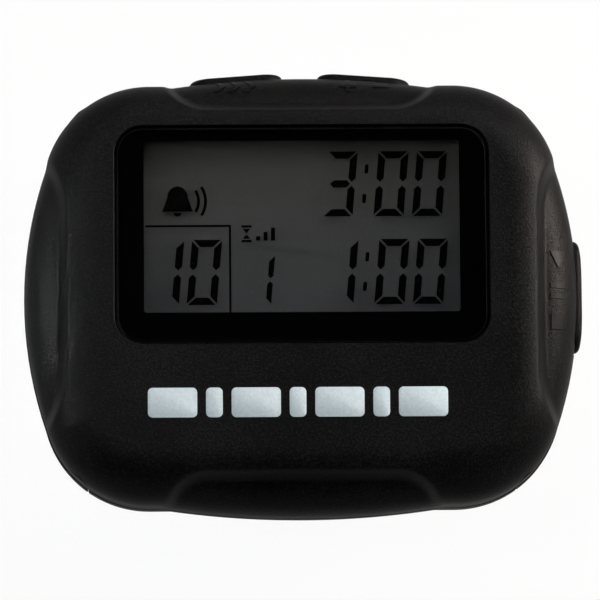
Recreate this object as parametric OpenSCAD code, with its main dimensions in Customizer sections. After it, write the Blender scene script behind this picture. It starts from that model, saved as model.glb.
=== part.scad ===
// Round timer for the gym: a pocket case with a display, three push buttons and a sprung belt clip.
// It lies on its clip with the display up. X runs to the start button, Y to the top buttons, Z out of the face.

/* [Case] */
// Distance from each end of the battery tray to the bowed side of the case
side_margin = 8.1; // [7.8:0.1:9]
// Distance from the lower side of the battery tray to the bowed bottom of the case
low_margin = 8.45; // [8.2:0.05:9.5]
// Distance from the display's frame to the bowed top of the case
top_margin = 6.5; // [6.3:0.05:7.5]
// Space between the battery tray and the inside of the face
roof_gap = 0.85; // [0.8:0.05:2]
// Radius of the bowed left and right sides
side_r = 47; // [44:1:60]
// Radius of the bowed top and bottom ends
end_r = 105; // [90:1:140]
// Thickness of the side walls
wall = 1.8; // [1.5:0.1:2]
// Thickness of the back of the case
back_wall = 1.6; // [1.4:0.1:1.8]
// Thickness of the front face
face_wall = 1.8; // [1.5:0.1:2]
// Thickness of the walls behind the scallops
scallop_wall = 1.6; // [1.4:0.05:1.7]
// Gap between two pieces that are fitted together
fit_gap = 0.1; // [0.05:0.01:0.15]
// Gap between two pieces that slide past each other
slide_gap = 0.25; // [0.2:0.05:0.3]

/* [Corner lobes] */
// How far the bowed sides stand out past the corner lobes
side_bow = 2.1; // [1.9:0.05:2.3]
// How far the bowed ends stand out past the corner lobes
end_bow = 1.2; // [1.1:0.05:1.4]
// Plan radius of each corner lobe
lobe_r = 12.3; // [11:0.1:13]
// Radius that rolls the lobes over into the face
lobe_roll = 6; // [5:0.1:7]
// Radius that rolls the sides over into the back
back_roll = 4; // [3:0.1:5]

/* [Side scallops] */
// Depth of the left and right scallops, from the side of the case
side_scallop = 4.75; // [4:0.05:5]
// Straight length of the left and right scallops
side_scallop_flat = 18.2; // [16:0.1:20]
// Plan radius at the ends of the left and right scallops
side_scallop_r = 10.9; // [9:0.1:12]
// Depth of the top and bottom scallops, from the end of the case
end_scallop = 4.6; // [4:0.05:5]
// Straight length of the top and bottom scallops
end_scallop_flat = 21.4; // [19:0.1:23]
// Plan radius at the ends of the top and bottom scallops
end_scallop_r = 5.2; // [4.5:0.1:6]
// Depth of the scallop floors below the face
rim_drop = 2.5; // [2:0.1:3]
// Radius that rolls the rim over from the side into a scallop
rim_roll = 5.5; // [5:0.1:6]

/* [Display] */
// Width of the clear window
window_w = 42.8; // [42:0.1:44]
// Height of the clear window
window_h = 25.2; // [24.6:0.1:25.6]
// Corner radius of the window
window_r = 3.2; // [2.5:0.1:4]
// Thickness of the window
window_t = 1.5; // [1.2:0.1:1.6]
// Distance of the window's centre below the panel's centre
window_drop = 1.15; // [0.9:0.05:1.2]
// Depth of the window's surface below the face
window_sink = 0.15; // [0.1:0.05:0.3]
// Width of the visible part of the liquid crystal panel
view_w = 36.7; // [35:0.1:37.4]
// Height of the visible part of the liquid crystal panel
view_h = 19.8; // [19:0.1:20.2]
// Space between the window and the panel
panel_gap = 1.7; // [1.4:0.1:1.8]
// Glass border above and beside the visible part of the panel
glass_border = 1; // [0.8:0.1:1]
// Glass border below the visible part of the panel, where its contacts are
glass_low_border = 1.7; // [1.6:0.05:1.8]
// Thickness of the front glass with its polariser
front_glass_t = 1.1; // [0.9:0.1:1.2]
// Thickness of the rear glass
rear_glass_t = 0.7; // [0.5:0.1:0.8]
// Thickness of the reflector foil
reflector_t = 0.2; // [0.1:0.05:0.25]
// Width of the contact ledge along the panel's lower edge
contact_ledge = 1.6; // [1.5:0.05:1.7]

/* [Buttons] */
// Length of each top button
top_button_l = 10.8; // [10:0.1:11.4]
// Distance between the centres of the top buttons
top_button_pitch = 14.8; // [14.4:0.1:15.4]
// Length of the start button
start_button_l = 13; // [12:0.1:14]
// Height of all three buttons
button_h = 5; // [4.6:0.1:5.4]
// Corner radius of the buttons
button_r = 2.2; // [1.8:0.1:2.3]
// How far the buttons stand out of the case
button_proud = 0.65; // [0.6:0.05:0.9]
// Travel of the buttons
button_travel = 0.5; // [0.3:0.05:0.6]
// Gap round each button in its opening
button_gap = 0.2; // [0.15:0.05:0.25]
// Thickness of the flange that keeps a button in the case
flange_t = 1.1; // [0.9:0.1:1.2]
// How far the flange reaches past the button's outline
flange_lip = 0.9; // [0.7:0.05:1]

/* [Switches and board] */
// Thickness of the circuit board
board_t = 1.2; // [1:0.1:1.2]
// Length of a switch body along its button
switch_l = 6; // [5:0.1:6.5]
// Depth of a switch body behind its plunger
switch_d = 3.5; // [3:0.1:3.6]
// Height of a switch body below the board
switch_h = 4.2; // [4:0.1:4.4]
// Radius of a switch plunger
plunger_r = 1.2; // [1:0.05:1.3]
// Length of a plunger outside its switch
plunger_l = 1.3; // [1.1:0.1:1.4]
// Length of a button's stem between its flange and the plunger
stem_l = 1.2; // [1:0.1:1.3]
// Diameter of the buzzer
buzzer_d = 9; // [8:0.5:9.5]
// Height of the buzzer
buzzer_h = 4.5; // [3:0.1:5]
// Diameter of the vibration motor
motor_d = 8; // [7:0.5:9]
// Height of the vibration motor
motor_h = 2.8; // [2:0.1:3.4]

/* [Battery] */
// Diameter of the AAA cell
cell_d = 10.5; // [10.3:0.1:10.5]
// Length of the AAA cell with its positive nub
cell_l = 44.5; // [44:0.1:44.5]
// Space for the compressed spring at the negative end
spring_room = 2.6; // [2.4:0.1:2.8]
// Space for the positive contact
contact_room = 0.7; // [0.6:0.05:0.8]
// Thickness of the battery contacts
contact_t = 0.3; // [0.2:0.05:0.35]
// Width of the solder tabs on the contacts
tab_w = 1.4; // [1.2:0.1:1.5]
// Thickness of the battery tray walls
tray_wall = 0.8; // [0.7:0.05:0.9]
// How far the battery door reaches past each end of the tray
door_overlap = 0.7; // [0.5:0.05:0.8]

/* [Screws] */
// Shank radius of the case screws
screw_r = 0.8; // [0.7:0.05:0.85]
// Head radius of the case screws
screw_head_r = 1.6; // [1.4:0.05:1.7]
// Head height of the case screws
screw_head_h = 1.2; // [1:0.1:1.3]
// Radius of the screw bosses
boss_r = 2.1; // [2:0.05:2.2]

/* [Belt clip] */
// Width of the belt clip
clip_w = 22; // [20:0.5:24]
// Length of the belt clip
clip_l = 40.5; // [38:0.5:42]
// Thickness of the belt clip's plate
clip_t = 2; // [1.8:0.1:2.4]
// Gap for the belt between the clip and the back
belt_gap = 5; // [5:0.1:6]
// Distance from the clip's thumb end to its hinge
thumb_l = 7.5; // [7:0.1:8.5]
// Thickness of the clip's jaw
jaw_t = 2.2; // [1.8:0.1:2.6]
// Radius of the hinge pin
pin_r = 0.8; // [0.7:0.05:0.9]
// Radius of the ears and lugs round the hinge pin
ear_r = 1.9; // [1.8:0.05:2]
// Thickness of the ears and lugs
ear_t = 1.6; // [1.4:0.1:1.8]
// Distance between the inner faces of the bracket's ears
ear_span = 12; // [11:0.5:13]
// Radial gap of the clip's lugs on the hinge pin
pin_gap = 0.05; // [0.03:0.01:0.08]
// Wire diameter of the clip's torsion spring
clip_wire = 0.6; // [0.5:0.05:0.65]
// Turns of the clip's torsion spring
clip_turns = 8; // [6:1:8]
// Wire diameter of the battery spring
cell_wire = 0.45; // [0.4:0.05:0.45]
// Turns of the battery spring
cell_turns = 2.5; // [2:0.5:3]

/* [Hidden] */
$fn = 144;

// Overlap that makes a cut or a joint clean
eps = 0.01;
// Longer than any cut has to be
far = 200;
// How far a drilled hole starts outside its boss
overcut = 1;

// Battery bay and thickness of the case
cell_r = cell_d / 2;
cell_gap = 0.3;
cell_lift = 0.15;
tray_half_l = (cell_l + spring_room + contact_room) / 2;
tray_h = cell_d + 2 * cell_gap;
body_t = back_wall + cell_lift + cell_d + cell_gap + tray_wall + roof_gap + face_wall;

// Levels from the table up
back_z = clip_t + belt_gap;
face_z = back_z + body_t;
floor_z = back_z + back_wall;
roof_z = face_z - face_wall;
rim_z = face_z - rim_drop;
window_top = face_z - window_sink;
window_seat = window_top - window_t;
panel_top = window_seat - panel_gap;
rear_glass_top = panel_top - front_glass_t;
reflector_top = rear_glass_top - rear_glass_t;
panel_bottom = reflector_top - reflector_t;
frame_floor_t = 0.85;
board_top = panel_bottom - frame_floor_t;
board_bottom = board_top - board_t;
// The case parts through the middle of the buttons
button_z = board_bottom - switch_h / 2;
split_z = button_z;

// Outline of the case, from the pieces inside it
frame_wall = 0.6;
frame_rim = fit_gap + frame_wall;
frame_h = view_h + glass_border + glass_low_border + 2 * frame_rim;
body_w = 2 * (tray_half_l + side_margin);
body_h = low_margin + tray_h + tray_wall + slide_gap + frame_h + top_margin;
lobe_w = body_w - 2 * side_bow;
lobe_h = body_h - 2 * end_bow;
lobe_cx = lobe_w / 2 - lobe_r;
lobe_cy = lobe_h / 2 - lobe_r;
side_line = body_w / 2 - side_scallop;
end_line = body_h / 2 - end_scallop;
// The bowed rim stops inside the lobes, just past the places where the scallops run out
rim_stop_y = side_scallop_flat / 2 + 0.65 * side_scallop_r;
rim_stop_x = end_scallop_flat / 2 + end_scallop_r + 0.7;
// The rim is rolled over a little more than the lobes at the back, so that it sinks into them there
rim_back_roll = back_roll + 1;
upper_cavity_r = 3.5;
lower_cavity_top = split_z + 4;

// Places in the case, from its bottom up
tray_low = -body_h / 2 + low_margin;
tray_high = tray_low + tray_h;
cell_y = (tray_low + tray_high) / 2;
frame_bottom = tray_high + tray_wall + slide_gap;
frame_top = frame_bottom + frame_h;
glass_bottom = frame_bottom + frame_rim;
glass_top = frame_top - frame_rim;
view_y = glass_bottom + glass_low_border + view_h / 2;
window_y = view_y - window_drop;
glass_side_border = 2.15;
glass_w = view_w + 2 * glass_side_border;
frame_half_w = glass_w / 2 + frame_rim;

// Buttons: each flange stops just short of the wall's inner face at its outer corner
button_x = top_button_pitch / 2;
flange_gap = 0.3;
top_flange_x = button_x + top_button_l / 2 + flange_lip;
top_flange_y = body_h / 2 - end_r + sqrt(pow(end_r - wall, 2) - pow(top_flange_x, 2)) - flange_gap;
start_flange_y = start_button_l / 2 + flange_lip;
start_flange_x = body_w / 2 - side_r + sqrt(pow(side_r - wall, 2) - pow(start_flange_y, 2)) - flange_gap;

// Switches behind the buttons, and the board that carries them
button_reach = flange_t + stem_l + plunger_l;
top_switch_y = top_flange_y - button_reach;
start_switch_x = start_flange_x - button_reach;
switch_set_back = 0.4;
plunger_in = 0.4;
plunger_bore = plunger_in + button_travel + 0.3;
board_low = frame_bottom;
board_high = max(frame_top, top_switch_y + switch_set_back);
board_half_w = start_switch_x + switch_set_back;
board_shoulder_y = view_y + 2.6;
buzzer_at = [-17.5, view_y - 4.4];
motor_at = [14.5, view_y - 3.9];
blob_at = [0, view_y + 0.6];
crystal_at = [3, view_y - 7.4];
chips_at = [-10, view_y - 8.9];
chip_pitch = 3.2;

// Battery door and tray
cell_z = floor_z + cell_lift + cell_r;
cell_low_x = -tray_half_l + spring_room;
tray_roof = cell_z + cell_r + cell_gap;
tray_top = tray_roof + tray_wall;
door_high = tray_high + tray_wall + 0.05;
door_half = tray_half_l + door_overlap;
door_w = 2 * door_half;
door_grip_y = -body_h / 2 + back_roll;
tray_foot = floor_z + slide_gap;
rail_t = 1.1;
rail_h = 1.6;
hook_w = 5;
hook_l = 2;
hook_x = 17;
hook_skin = back_wall / 2;
shelf_t = 1.2;
nub_r = 1.9;
nub_l = 1;

// Screws
screw_from_lobe = [7, 2.6];
screw_from_bottom = 4.7;
board_screw_in = 2.2;
board_screw_l = 2.8;
top_screw = [lobe_cx, lobe_cy] + screw_from_lobe;
low_screw = [9, -body_h / 2 + screw_from_bottom];
board_screw_left = [-board_half_w + board_screw_in, view_y - 3.4];
board_screw_right = [board_half_w - board_screw_in, view_y];
pilot_gap = 0.05;
pilot_deep = 0.4;
counterbore_z = floor_z + 1.4;
shank_end = split_z + 4;
low_head_top = split_z - shelf_t;

// Clip
clip_inset = 6;
clip_high = body_h / 2 - clip_inset;
clip_low = clip_high - clip_l;
hinge_y = clip_high - thumb_l;
pin_z = clip_t + ear_r + 0.3;
lug_in = ear_span / 2 + ear_t + 0.2;
pin_half_l = lug_in + ear_t + 0.2;
jaw_gap = 0.3;
bracket_t = 0.8;
stake_r = 0.8;
stake_x = ear_span / 2 - 2.5;

// Rounded rectangle about the origin
module rounded_plate(w, h, r) {
    square([w - 2 * r, h], center = true);
    square([w, h - 2 * r], center = true);
    for (x = [-1, 1], y = [-1, 1])
        translate([x * (w / 2 - r), y * (h / 2 - r)]) circle(r);
}

// Half section of a disc whose upper rim is rolled over
module rolled_section(r, roll, low, high) {
    translate([0, low]) square([r - roll, high - low]);
    translate([0, low]) square([r, high - roll - low]);
    translate([r - roll, high - roll]) intersection() {
        circle(roll);
        square(roll);
    }
}

// Disc whose upper rim is rolled over
module rolled_disc(r, roll, low, high) {
    rotate_extrude() rolled_section(r, roll, low, high);
}

// Case outline with bowed sides, drawn by four large circles and moved in by inset
module bowed_plan(inset) {
    intersection_for (a = [0, 180])
        rotate(a) intersection() {
            translate([body_w / 2 - side_r, 0]) circle(side_r - inset);
            translate([0, body_h / 2 - end_r]) circle(end_r - inset);
        }
}

// Cross that holds the bowed rim between the lobes
module rim_cross() {
    square([far, 2 * rim_stop_y], center = true);
    square([2 * rim_stop_x, far], center = true);
}

// Whole outline of the case, lobes and bowed sides together
module case_plan(inset = 0) {
    intersection() {
        bowed_plan(inset);
        rim_cross();
    }
    rounded_plate(lobe_w - 2 * inset, lobe_h - 2 * inset, lobe_r - inset);
}

// Bowed body whose upper edge is rolled over, between the lobes only
module bowed_body(roll, low, high) {
    intersection() {
        both_bowed_sides() rolled_disc(side_r, roll, low, high);
        both_bowed_ends() rolled_disc(end_r, roll, low, high);
        translate([0, 0, low]) linear_extrude(high - low) rim_cross();
    }
}

// Two discs that meet to bow the left and right sides
module both_bowed_sides() {
    intersection_for (s = [-1, 1])
        translate([s * (body_w / 2 - side_r), 0, 0]) children();
}

// Two discs that meet to bow the top and bottom ends
module both_bowed_ends() {
    intersection_for (s = [-1, 1])
        translate([0, s * (body_h / 2 - end_r), 0]) children();
}

// Slab with round corners and a rolled upper edge, made of four quarter discs and the bars between them
module lobe_body(roll, low, high) {
    for (x = [0, 1], y = [0, 1])
        mirror([x, 0, 0]) mirror([0, y, 0])
            translate([lobe_cx, lobe_cy, 0])
                rotate_extrude(angle = 90) rolled_section(lobe_r, roll, low, high);
    rolled_bar(lobe_w / 2, lobe_cy, roll, low, high);
    for (y = [0, 1])
        mirror([0, y, 0]) translate([0, lobe_cy, 0])
            rotate([90, 0, 90]) translate([0, 0, -lobe_cx])
                linear_extrude(2 * lobe_cx) rolled_section(lobe_r, roll, low, high);
}

// Bar along Y whose two upper edges are rolled over
module rolled_bar(half_w, half_l, roll, low, high) {
    translate([0, half_l, 0]) rotate([90, 0, 0]) linear_extrude(2 * half_l)
        for (s = [0, 1])
            mirror([s, 0]) rolled_section(half_w, roll, low, high);
}

// Plan of the raised face: the lobes with a scallop cut into each side
module face_plan() {
    difference() {
        rounded_plate(lobe_w, lobe_h, lobe_r);
        for (s = [-1, 1]) {
            side_tall = side_scallop_flat + 2 * side_scallop_r;
            side_deep = 2 * side_scallop_r + 4;
            translate([s * (side_line + side_deep / 2), 0])
                rounded_plate(side_deep, side_tall, side_scallop_r);
            end_wide = end_scallop_flat + 2 * end_scallop_r;
            end_deep = 2 * end_scallop_r + 4;
            translate([0, s * (end_line + end_deep / 2)])
                rounded_plate(end_wide, end_deep, end_scallop_r);
        }
    }
}

// Outer form of the front shell
module front_form() {
    bowed_body(rim_roll, split_z, rim_z);
    intersection() {
        lobe_body(lobe_roll, split_z, face_z);
        translate([0, 0, split_z]) linear_extrude(body_t) face_plan();
    }
}

// Outer form of the rear half, its back rolled over
module rear_form() {
    mirror([0, 0, 1]) {
        bowed_body(rim_back_roll, -split_z, -back_z);
        lobe_body(back_roll, -split_z, -back_z);
    }
}

// Upright post with a flat end
module post(at, r, low, high) {
    translate([at[0], at[1], low]) cylinder(r = r, h = high - low);
}

// Places of the four case screws
function mirror_x(p) = [-p[0], p[1]];
top_screws = [top_screw, mirror_x(top_screw)];
low_screws = [low_screw, mirror_x(low_screw)];
board_screws_at = [board_screw_left, board_screw_right];

// Button openings in the walls, cut by the same outline as the buttons
module button_openings() {
    for (s = [-1, 1])
        top_button_place(s) linear_extrude(far / 2)
            rounded_plate(top_button_l + 2 * button_gap, button_h + 2 * button_gap, button_r + button_gap);
    start_button_place() linear_extrude(far / 2)
        rounded_plate(start_button_l + 2 * button_gap, button_h + 2 * button_gap, button_r + button_gap);
}

// Frame of a top button: its outline lies in X and Z, and it points out of the top end
module top_button_place(s) {
    translate([s * button_x, 0, button_z]) rotate([-90, 0, 0]) children();
}

// Frame of the start button: its outline lies in Y and Z, and it points out of the right side
module start_button_place() {
    translate([0, 0, button_z]) rotate([90, 0, 90]) children();
}

module front_shell() {
    color([0.09, 0.09, 0.1]) difference() {
        union() {
            difference() {
                front_form();
                translate([0, 0, split_z - eps])
                    linear_extrude(lower_cavity_top - split_z + eps) case_plan(wall);
                translate([0, 0, split_z - eps])
                    linear_extrude(roof_z - split_z + eps) upper_cavity_plan();
            }
            window_frame();
            for (p = top_screws) post(p, boss_r, split_z, roof_z + eps);
            for (p = low_screws) post(p, boss_r, split_z, lower_cavity_top + 0.5);
            for (p = board_screws_at) post(p, boss_r - 0.3, board_top, roof_z + eps);
        }
        translate([0, window_y, window_seat]) linear_extrude(face_z)
            rounded_plate(window_w + 2 * fit_gap, window_h + 2 * fit_gap, window_r + fit_gap);
        translate([0, view_y, board_top]) linear_extrude(face_z)
            rounded_plate(view_w + 1.6, view_h + 1.6, 1);
        button_openings();
        for (p = concat(top_screws, low_screws))
            post(p, screw_r + pilot_gap, split_z - overcut, shank_end + pilot_deep);
        for (p = board_screws_at)
            post(p, screw_r + pilot_gap, board_top - overcut, board_top + board_screw_l + pilot_deep);
    }
}

// Plan of the hollow behind the raised face
module upper_cavity_plan(inset = 0) {
    half_w = side_line - scallop_wall - inset;
    half_h = end_line - scallop_wall - inset;
    rounded_plate(2 * half_w, 2 * half_h, upper_cavity_r);
}

// Frame behind the face that carries the window: thin above the battery tray and thick above the board
module window_frame() {
    ledge_z = tray_top + fit_gap;
    frame_z = panel_top + fit_gap;
    translate([0, 0, ledge_z]) linear_extrude(roof_z - ledge_z + eps) window_frame_plan();
    translate([0, 0, frame_z]) linear_extrude(roof_z - frame_z + eps) intersection() {
        window_frame_plan();
        translate([-far / 2, tray_high + tray_wall + slide_gap]) square(far);
    }
}

// Plan of the window's frame, which runs into the wall above the window
module window_frame_plan() {
    intersection() {
        translate([0, window_y]) rounded_plate(window_w + 2.6, window_h + 2.6, window_r);
        upper_cavity_plan(-eps);
    }
}

module display_window() {
    color([0.75, 0.78, 0.8, 0.4]) translate([0, window_y, window_seat])
        linear_extrude(window_t) rounded_plate(window_w, window_h, window_r);
}

// Plate of the panel between two heights on the case
module panel_plate(low_y, high_y, low_z, thick) {
    translate([-glass_w / 2, low_y, low_z]) cube([glass_w, high_y - low_y, thick]);
}

module lcd_front_glass() {
    color([0.55, 0.57, 0.55]) panel_plate(glass_bottom, glass_top, rear_glass_top, front_glass_t);
}

module lcd_rear_glass() {
    color([0.6, 0.62, 0.6]) panel_plate(glass_bottom + contact_ledge, glass_top, reflector_top, rear_glass_t);
}

module lcd_reflector() {
    color("silver") panel_plate(glass_bottom + contact_ledge, glass_top, panel_bottom, reflector_t);
}

// Slot for the elastomer connector, below the contact ledge
zebra_w = glass_w - 4;
zebra_low = glass_bottom + 0.2;
zebra_d = contact_ledge - 0.5;

module lcd_frame() {
    frame_tall = frame_top - frame_bottom;
    color("white") difference() {
        translate([-frame_half_w, frame_bottom, board_top])
            cube([2 * frame_half_w, frame_tall, panel_top - board_top]);
        translate([-glass_w / 2 - fit_gap, glass_bottom - fit_gap, panel_bottom])
            cube([glass_w + 2 * fit_gap, glass_top - glass_bottom + 2 * fit_gap, far]);
        translate([-zebra_w / 2 - fit_gap, zebra_low - fit_gap, 0])
            cube([zebra_w + 2 * fit_gap, zebra_d + 2 * fit_gap, far]);
    }
}

module zebra_connector() {
    color("pink") translate([-zebra_w / 2, zebra_low, board_top])
        cube([zebra_w, zebra_d, rear_glass_top - board_top]);
}

// Board outline: wide at the start button and narrow between the upper screws
module circuit_board() {
    color("green") difference() {
        translate([0, 0, board_bottom]) linear_extrude(board_t) {
            translate([-board_half_w, board_low]) square([2 * board_half_w, board_shoulder_y - board_low]);
            translate([-frame_half_w, board_low]) square([2 * frame_half_w, board_high - board_low]);
        }
        for (p = board_screws_at) post(p, screw_r + fit_gap, board_bottom - 1, board_top + 1);
    }
}

// Drop of black resin over the controller chip
module controller_blob() {
    blob_r = 4.5;
    blob_h = 1.3;
    dome_r = (blob_r * blob_r + blob_h * blob_h) / (2 * blob_h);
    color([0.05, 0.05, 0.05]) intersection() {
        translate([blob_at[0], blob_at[1], board_bottom + dome_r - blob_h]) sphere(dome_r);
        post(blob_at, blob_r + 1, board_bottom - blob_h - 1, board_bottom);
    }
}

module quartz_crystal() {
    can_r = 1;
    can_l = 6;
    color("silver") translate([crystal_at[0], crystal_at[1], board_bottom - can_r])
        rotate([0, 90, 0]) cylinder(r = can_r, h = can_l);
}

module chip_capacitors() {
    chip = [2, 1.25, 0.8];
    color("tan") for (i = [0 : 3])
        translate([chips_at[0] + chip_pitch * i, chips_at[1], board_bottom - chip[2]]) cube(chip);
}

module buzzer() {
    color([0.12, 0.12, 0.12]) difference() {
        post(buzzer_at, buzzer_d / 2, board_bottom - buzzer_h, board_bottom);
        post(buzzer_at, 1.2, board_bottom - buzzer_h - 1, board_bottom - buzzer_h + 0.8);
    }
}

module vibration_motor() {
    color("silver") post(motor_at, motor_d / 2, board_bottom - motor_h, board_bottom);
}

// Switch body with the bore that its plunger slides in, standing behind a button
module switch_body(front) {
    difference() {
        translate([-switch_l / 2, -switch_h / 2, front - switch_d]) cube([switch_l, switch_h, switch_d]);
        translate([0, 0, front - plunger_bore]) cylinder(r = plunger_r + 0.1, h = far);
    }
}

module tact_switches() {
    color([0.2, 0.2, 0.2]) {
        for (s = [-1, 1]) top_button_place(s) switch_body(top_switch_y);
        start_button_place() switch_body(start_switch_x);
    }
}

// Plunger of a switch, part of its length inside the body
module plunger(front) {
    translate([0, 0, front - plunger_in]) cylinder(r = plunger_r, h = plunger_in + plunger_l);
}

// Button with its flange and stem, cut to length by the bowed outline of the case
module push_button(long, front, flange_front) {
    translate([0, 0, flange_front - flange_t]) linear_extrude(far / 2) rounded_plate(long, button_h, button_r);
    translate([0, 0, flange_front - flange_t]) linear_extrude(flange_t)
        rounded_plate(long + 2 * flange_lip, button_h + 2 * flange_lip, button_r + flange_lip);
    translate([0, 0, front + plunger_l]) cylinder(r = plunger_r, h = flange_front - front - plunger_l);
}

module top_button(s) {
    color([0.12, 0.12, 0.12]) intersection() {
        top_button_place(s) push_button(top_button_l, top_switch_y, top_flange_y);
        translate([0, body_h / 2 - end_r, 0]) cylinder(r = end_r + button_proud, h = far);
    }
}

module next_button() {
    top_button(-1);
}

module change_button() {
    top_button(1);
}

module start_button() {
    color([0.12, 0.12, 0.12]) intersection() {
        start_button_place() push_button(start_button_l, start_switch_x, start_flange_x);
        translate([body_w / 2 - side_r, 0, 0]) cylinder(r = side_r + button_proud, h = far);
    }
}

module next_plunger() {
    color("ivory") top_button_place(-1) plunger(top_switch_y);
}

module change_plunger() {
    color("ivory") top_button_place(1) plunger(top_switch_y);
}

module start_plunger() {
    color("ivory") start_button_place() plunger(start_switch_x);
}

module battery_cell() {
    color("steelblue") translate([cell_low_x, cell_y, cell_z]) rotate([0, 90, 0]) {
        cylinder(r = cell_r, h = cell_l - nub_l);
        cylinder(r = nub_r, h = cell_l);
    }
}

// Contact plate that stands against an end wall of the tray, with a tab that reaches the board
contact_half = 3.8;
tab_end = board_low + 1.5;
module contact_plate(low_x) {
    translate([low_x, cell_y - contact_half, cell_z - contact_half])
        cube([contact_t, 2 * contact_half, 2 * contact_half]);
    translate([low_x, cell_y, board_top]) cube([contact_t, tab_end - cell_y, tab_w]);
}

// Slots in the tray's upper wall that the tabs pass through
module tab_slots() {
    for (s = [-1, 1])
        translate([s * (tray_half_l - contact_t / 2), tray_high + tray_wall / 2, board_top + tab_w / 2])
            cube([contact_t + 2 * fit_gap, 2 * tray_wall, tab_w + 2 * fit_gap], center = true);
}

module negative_contact() {
    color("silver") contact_plate(-tray_half_l);
}

module positive_contact() {
    color("silver") {
        contact_plate(tray_half_l - contact_t);
        translate([tray_half_l - contact_room, cell_y, cell_z]) rotate([0, 90, 0])
            cylinder(r = nub_r - 0.4, h = contact_room - contact_t + eps);
    }
}

// Wire swept along a list of points, with rings of so many sides, square to the path
function unit(v) = v / norm(v);
function path_way(p, i) = unit(p[min(i + 1, len(p) - 1)] - p[max(i - 1, 0)]);
function ring(at, way, up, r, sides) =
    let (across = unit(cross(up, way)), over = cross(way, across))
    [for (k = [0 : sides - 1]) at + r * (cos(360 * k / sides) * across + sin(360 * k / sides) * over)];
module wire(p, r, up, sides = 6) {
    n = len(p);
    last = (n - 1) * sides;
    points = [for (i = [0 : n - 1]) each ring(p[i], path_way(p, i), up, r, sides)];
    walls = [for (i = [0 : n - 2], k = [0 : sides - 1])
        let (a = i * sides + k, b = i * sides + (k + 1) % sides)
        each [[a, a + sides, b], [b, a + sides, b + sides]]];
    ends = [for (k = [1 : sides - 2])
        each [[0, k, k + 1], [last, last + k + 1, last + k]]];
    polyhedron(points = points, faces = concat(walls, ends));
}

// Least gap of a coiled wire to itself, between points at least half a turn apart
function least_gap(p, d, apart) =
    min([for (i = [0 : len(p) - 1], j = [i + apart : 1 : len(p) - 1]) norm(p[i] - p[j])]) - d;

// Battery spring: a cone of wire that flattens into itself, wide at its contact plate
cell_rings = 8;
cell_wide = 3.3;
cell_narrow = 1.2;
cell_spring_x = -tray_half_l + contact_t + cell_wire / 2 + 0.05;
cell_spring_l = spring_room - contact_t - cell_wire - 0.1;
cell_spring_path = [for (i = [0 : cell_turns * cell_rings])
    let (t = i / (cell_turns * cell_rings), a = 360 * i / cell_rings)
    let (r = cell_wide + (cell_narrow - cell_wide) * t, x = cell_spring_x + cell_spring_l * t)
    [x, cell_y + r * cos(a), cell_z + r * sin(a)]];

module negative_spring() {
    color("silver") wire(cell_spring_path, cell_wire / 2, [1, 0, 0]);
}

// Torsion spring of the clip: a coil round the pin, one leg on the thumb end and one against the back
clip_rings = 8;
coil_r = pin_r + 0.35 + clip_wire / 2;
coil_pitch = clip_wire + 0.45;
coil_half = clip_turns * coil_pitch / 2;
leg_l = thumb_l - 2.5;
lower_leg_z = clip_t + clip_wire / 2 + 0.1;
upper_leg_z = back_z - clip_wire / 2 - 0.1;
coil_path = [for (i = [0 : (clip_turns - 0.5) * clip_rings])
    let (a = -90 - 360 * i / clip_rings, x = -coil_half + coil_pitch * i / clip_rings)
    [x, hinge_y + coil_r * cos(a), pin_z + coil_r * sin(a)]];
coil_end_x = -coil_half + coil_pitch * (clip_turns - 0.5);
lower_leg = [for (k = [4 : -1 : 1])
    let (t = k / 4, z = pin_z - coil_r + (lower_leg_z - pin_z + coil_r) * t)
    [-coil_half, hinge_y + leg_l * t, z]];
upper_leg = [for (k = [1 : 4])
    let (t = k / 4, z = pin_z + coil_r + (upper_leg_z - pin_z - coil_r) * t)
    [coil_end_x, hinge_y + leg_l * t, z]];
clip_spring_path = concat(lower_leg, coil_path, upper_leg);
echo(least_gap_clip_spring = least_gap(coil_path, clip_wire, clip_rings / 2));
echo(least_gap_battery_spring = least_gap(cell_spring_path, cell_wire, cell_rings / 2));

module clip_spring() {
    color("silver") wire(clip_spring_path, clip_wire / 2, [1, 0, 0]);
}

// Part of the rear half that the battery door takes, with a gap left round it
module door_block(gap) {
    translate([-door_half - gap, -far / 2, 0]) cube([door_w + 2 * gap, far / 2 + door_high + gap, split_z]);
}

// Tray that holds the battery, open to the back, with end walls that reach the rails
module battery_tray() {
    outer_half = door_half + slide_gap + eps;
    outer_low = tray_low - tray_wall;
    difference() {
        translate([-outer_half, outer_low, tray_foot])
            cube([2 * outer_half, tray_high + tray_wall - outer_low, tray_top - tray_foot]);
        translate([-tray_half_l, tray_low, 0]) cube([2 * tray_half_l, tray_high - tray_low, tray_roof]);
        tab_slots();
    }
}

// Shelf below the tray that closes the case over the battery door
module low_shelf() {
    difference() {
        translate([0, 0, low_head_top]) linear_extrude(shelf_t) intersection() {
            case_plan(wall + fit_gap);
            translate([-door_half - 1, -far / 2]) square([door_w + 2, far / 2 + tray_low]);
        }
        for (p = low_screws) post(p, screw_r + fit_gap, 0, face_z);
    }
}

// Rails inside the back at both sides of the door
module side_rails() {
    for (s = [0, 1])
        mirror([s, 0, 0]) translate([door_half + slide_gap, -far / 2, 0])
            cube([rail_t, far / 2 + door_high, split_z]);
}

// Bar across the back above the door, which carries the tray and holds the door's hooks down
module hook_bar() {
    bar_low = tray_high + tray_wall - eps;
    translate([-door_half - slide_gap - rail_t, bar_low, tray_foot])
        cube([door_w + 2 * slide_gap + 2 * rail_t, door_high + slide_gap + rail_t - bar_low, rail_h]);
}

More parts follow.
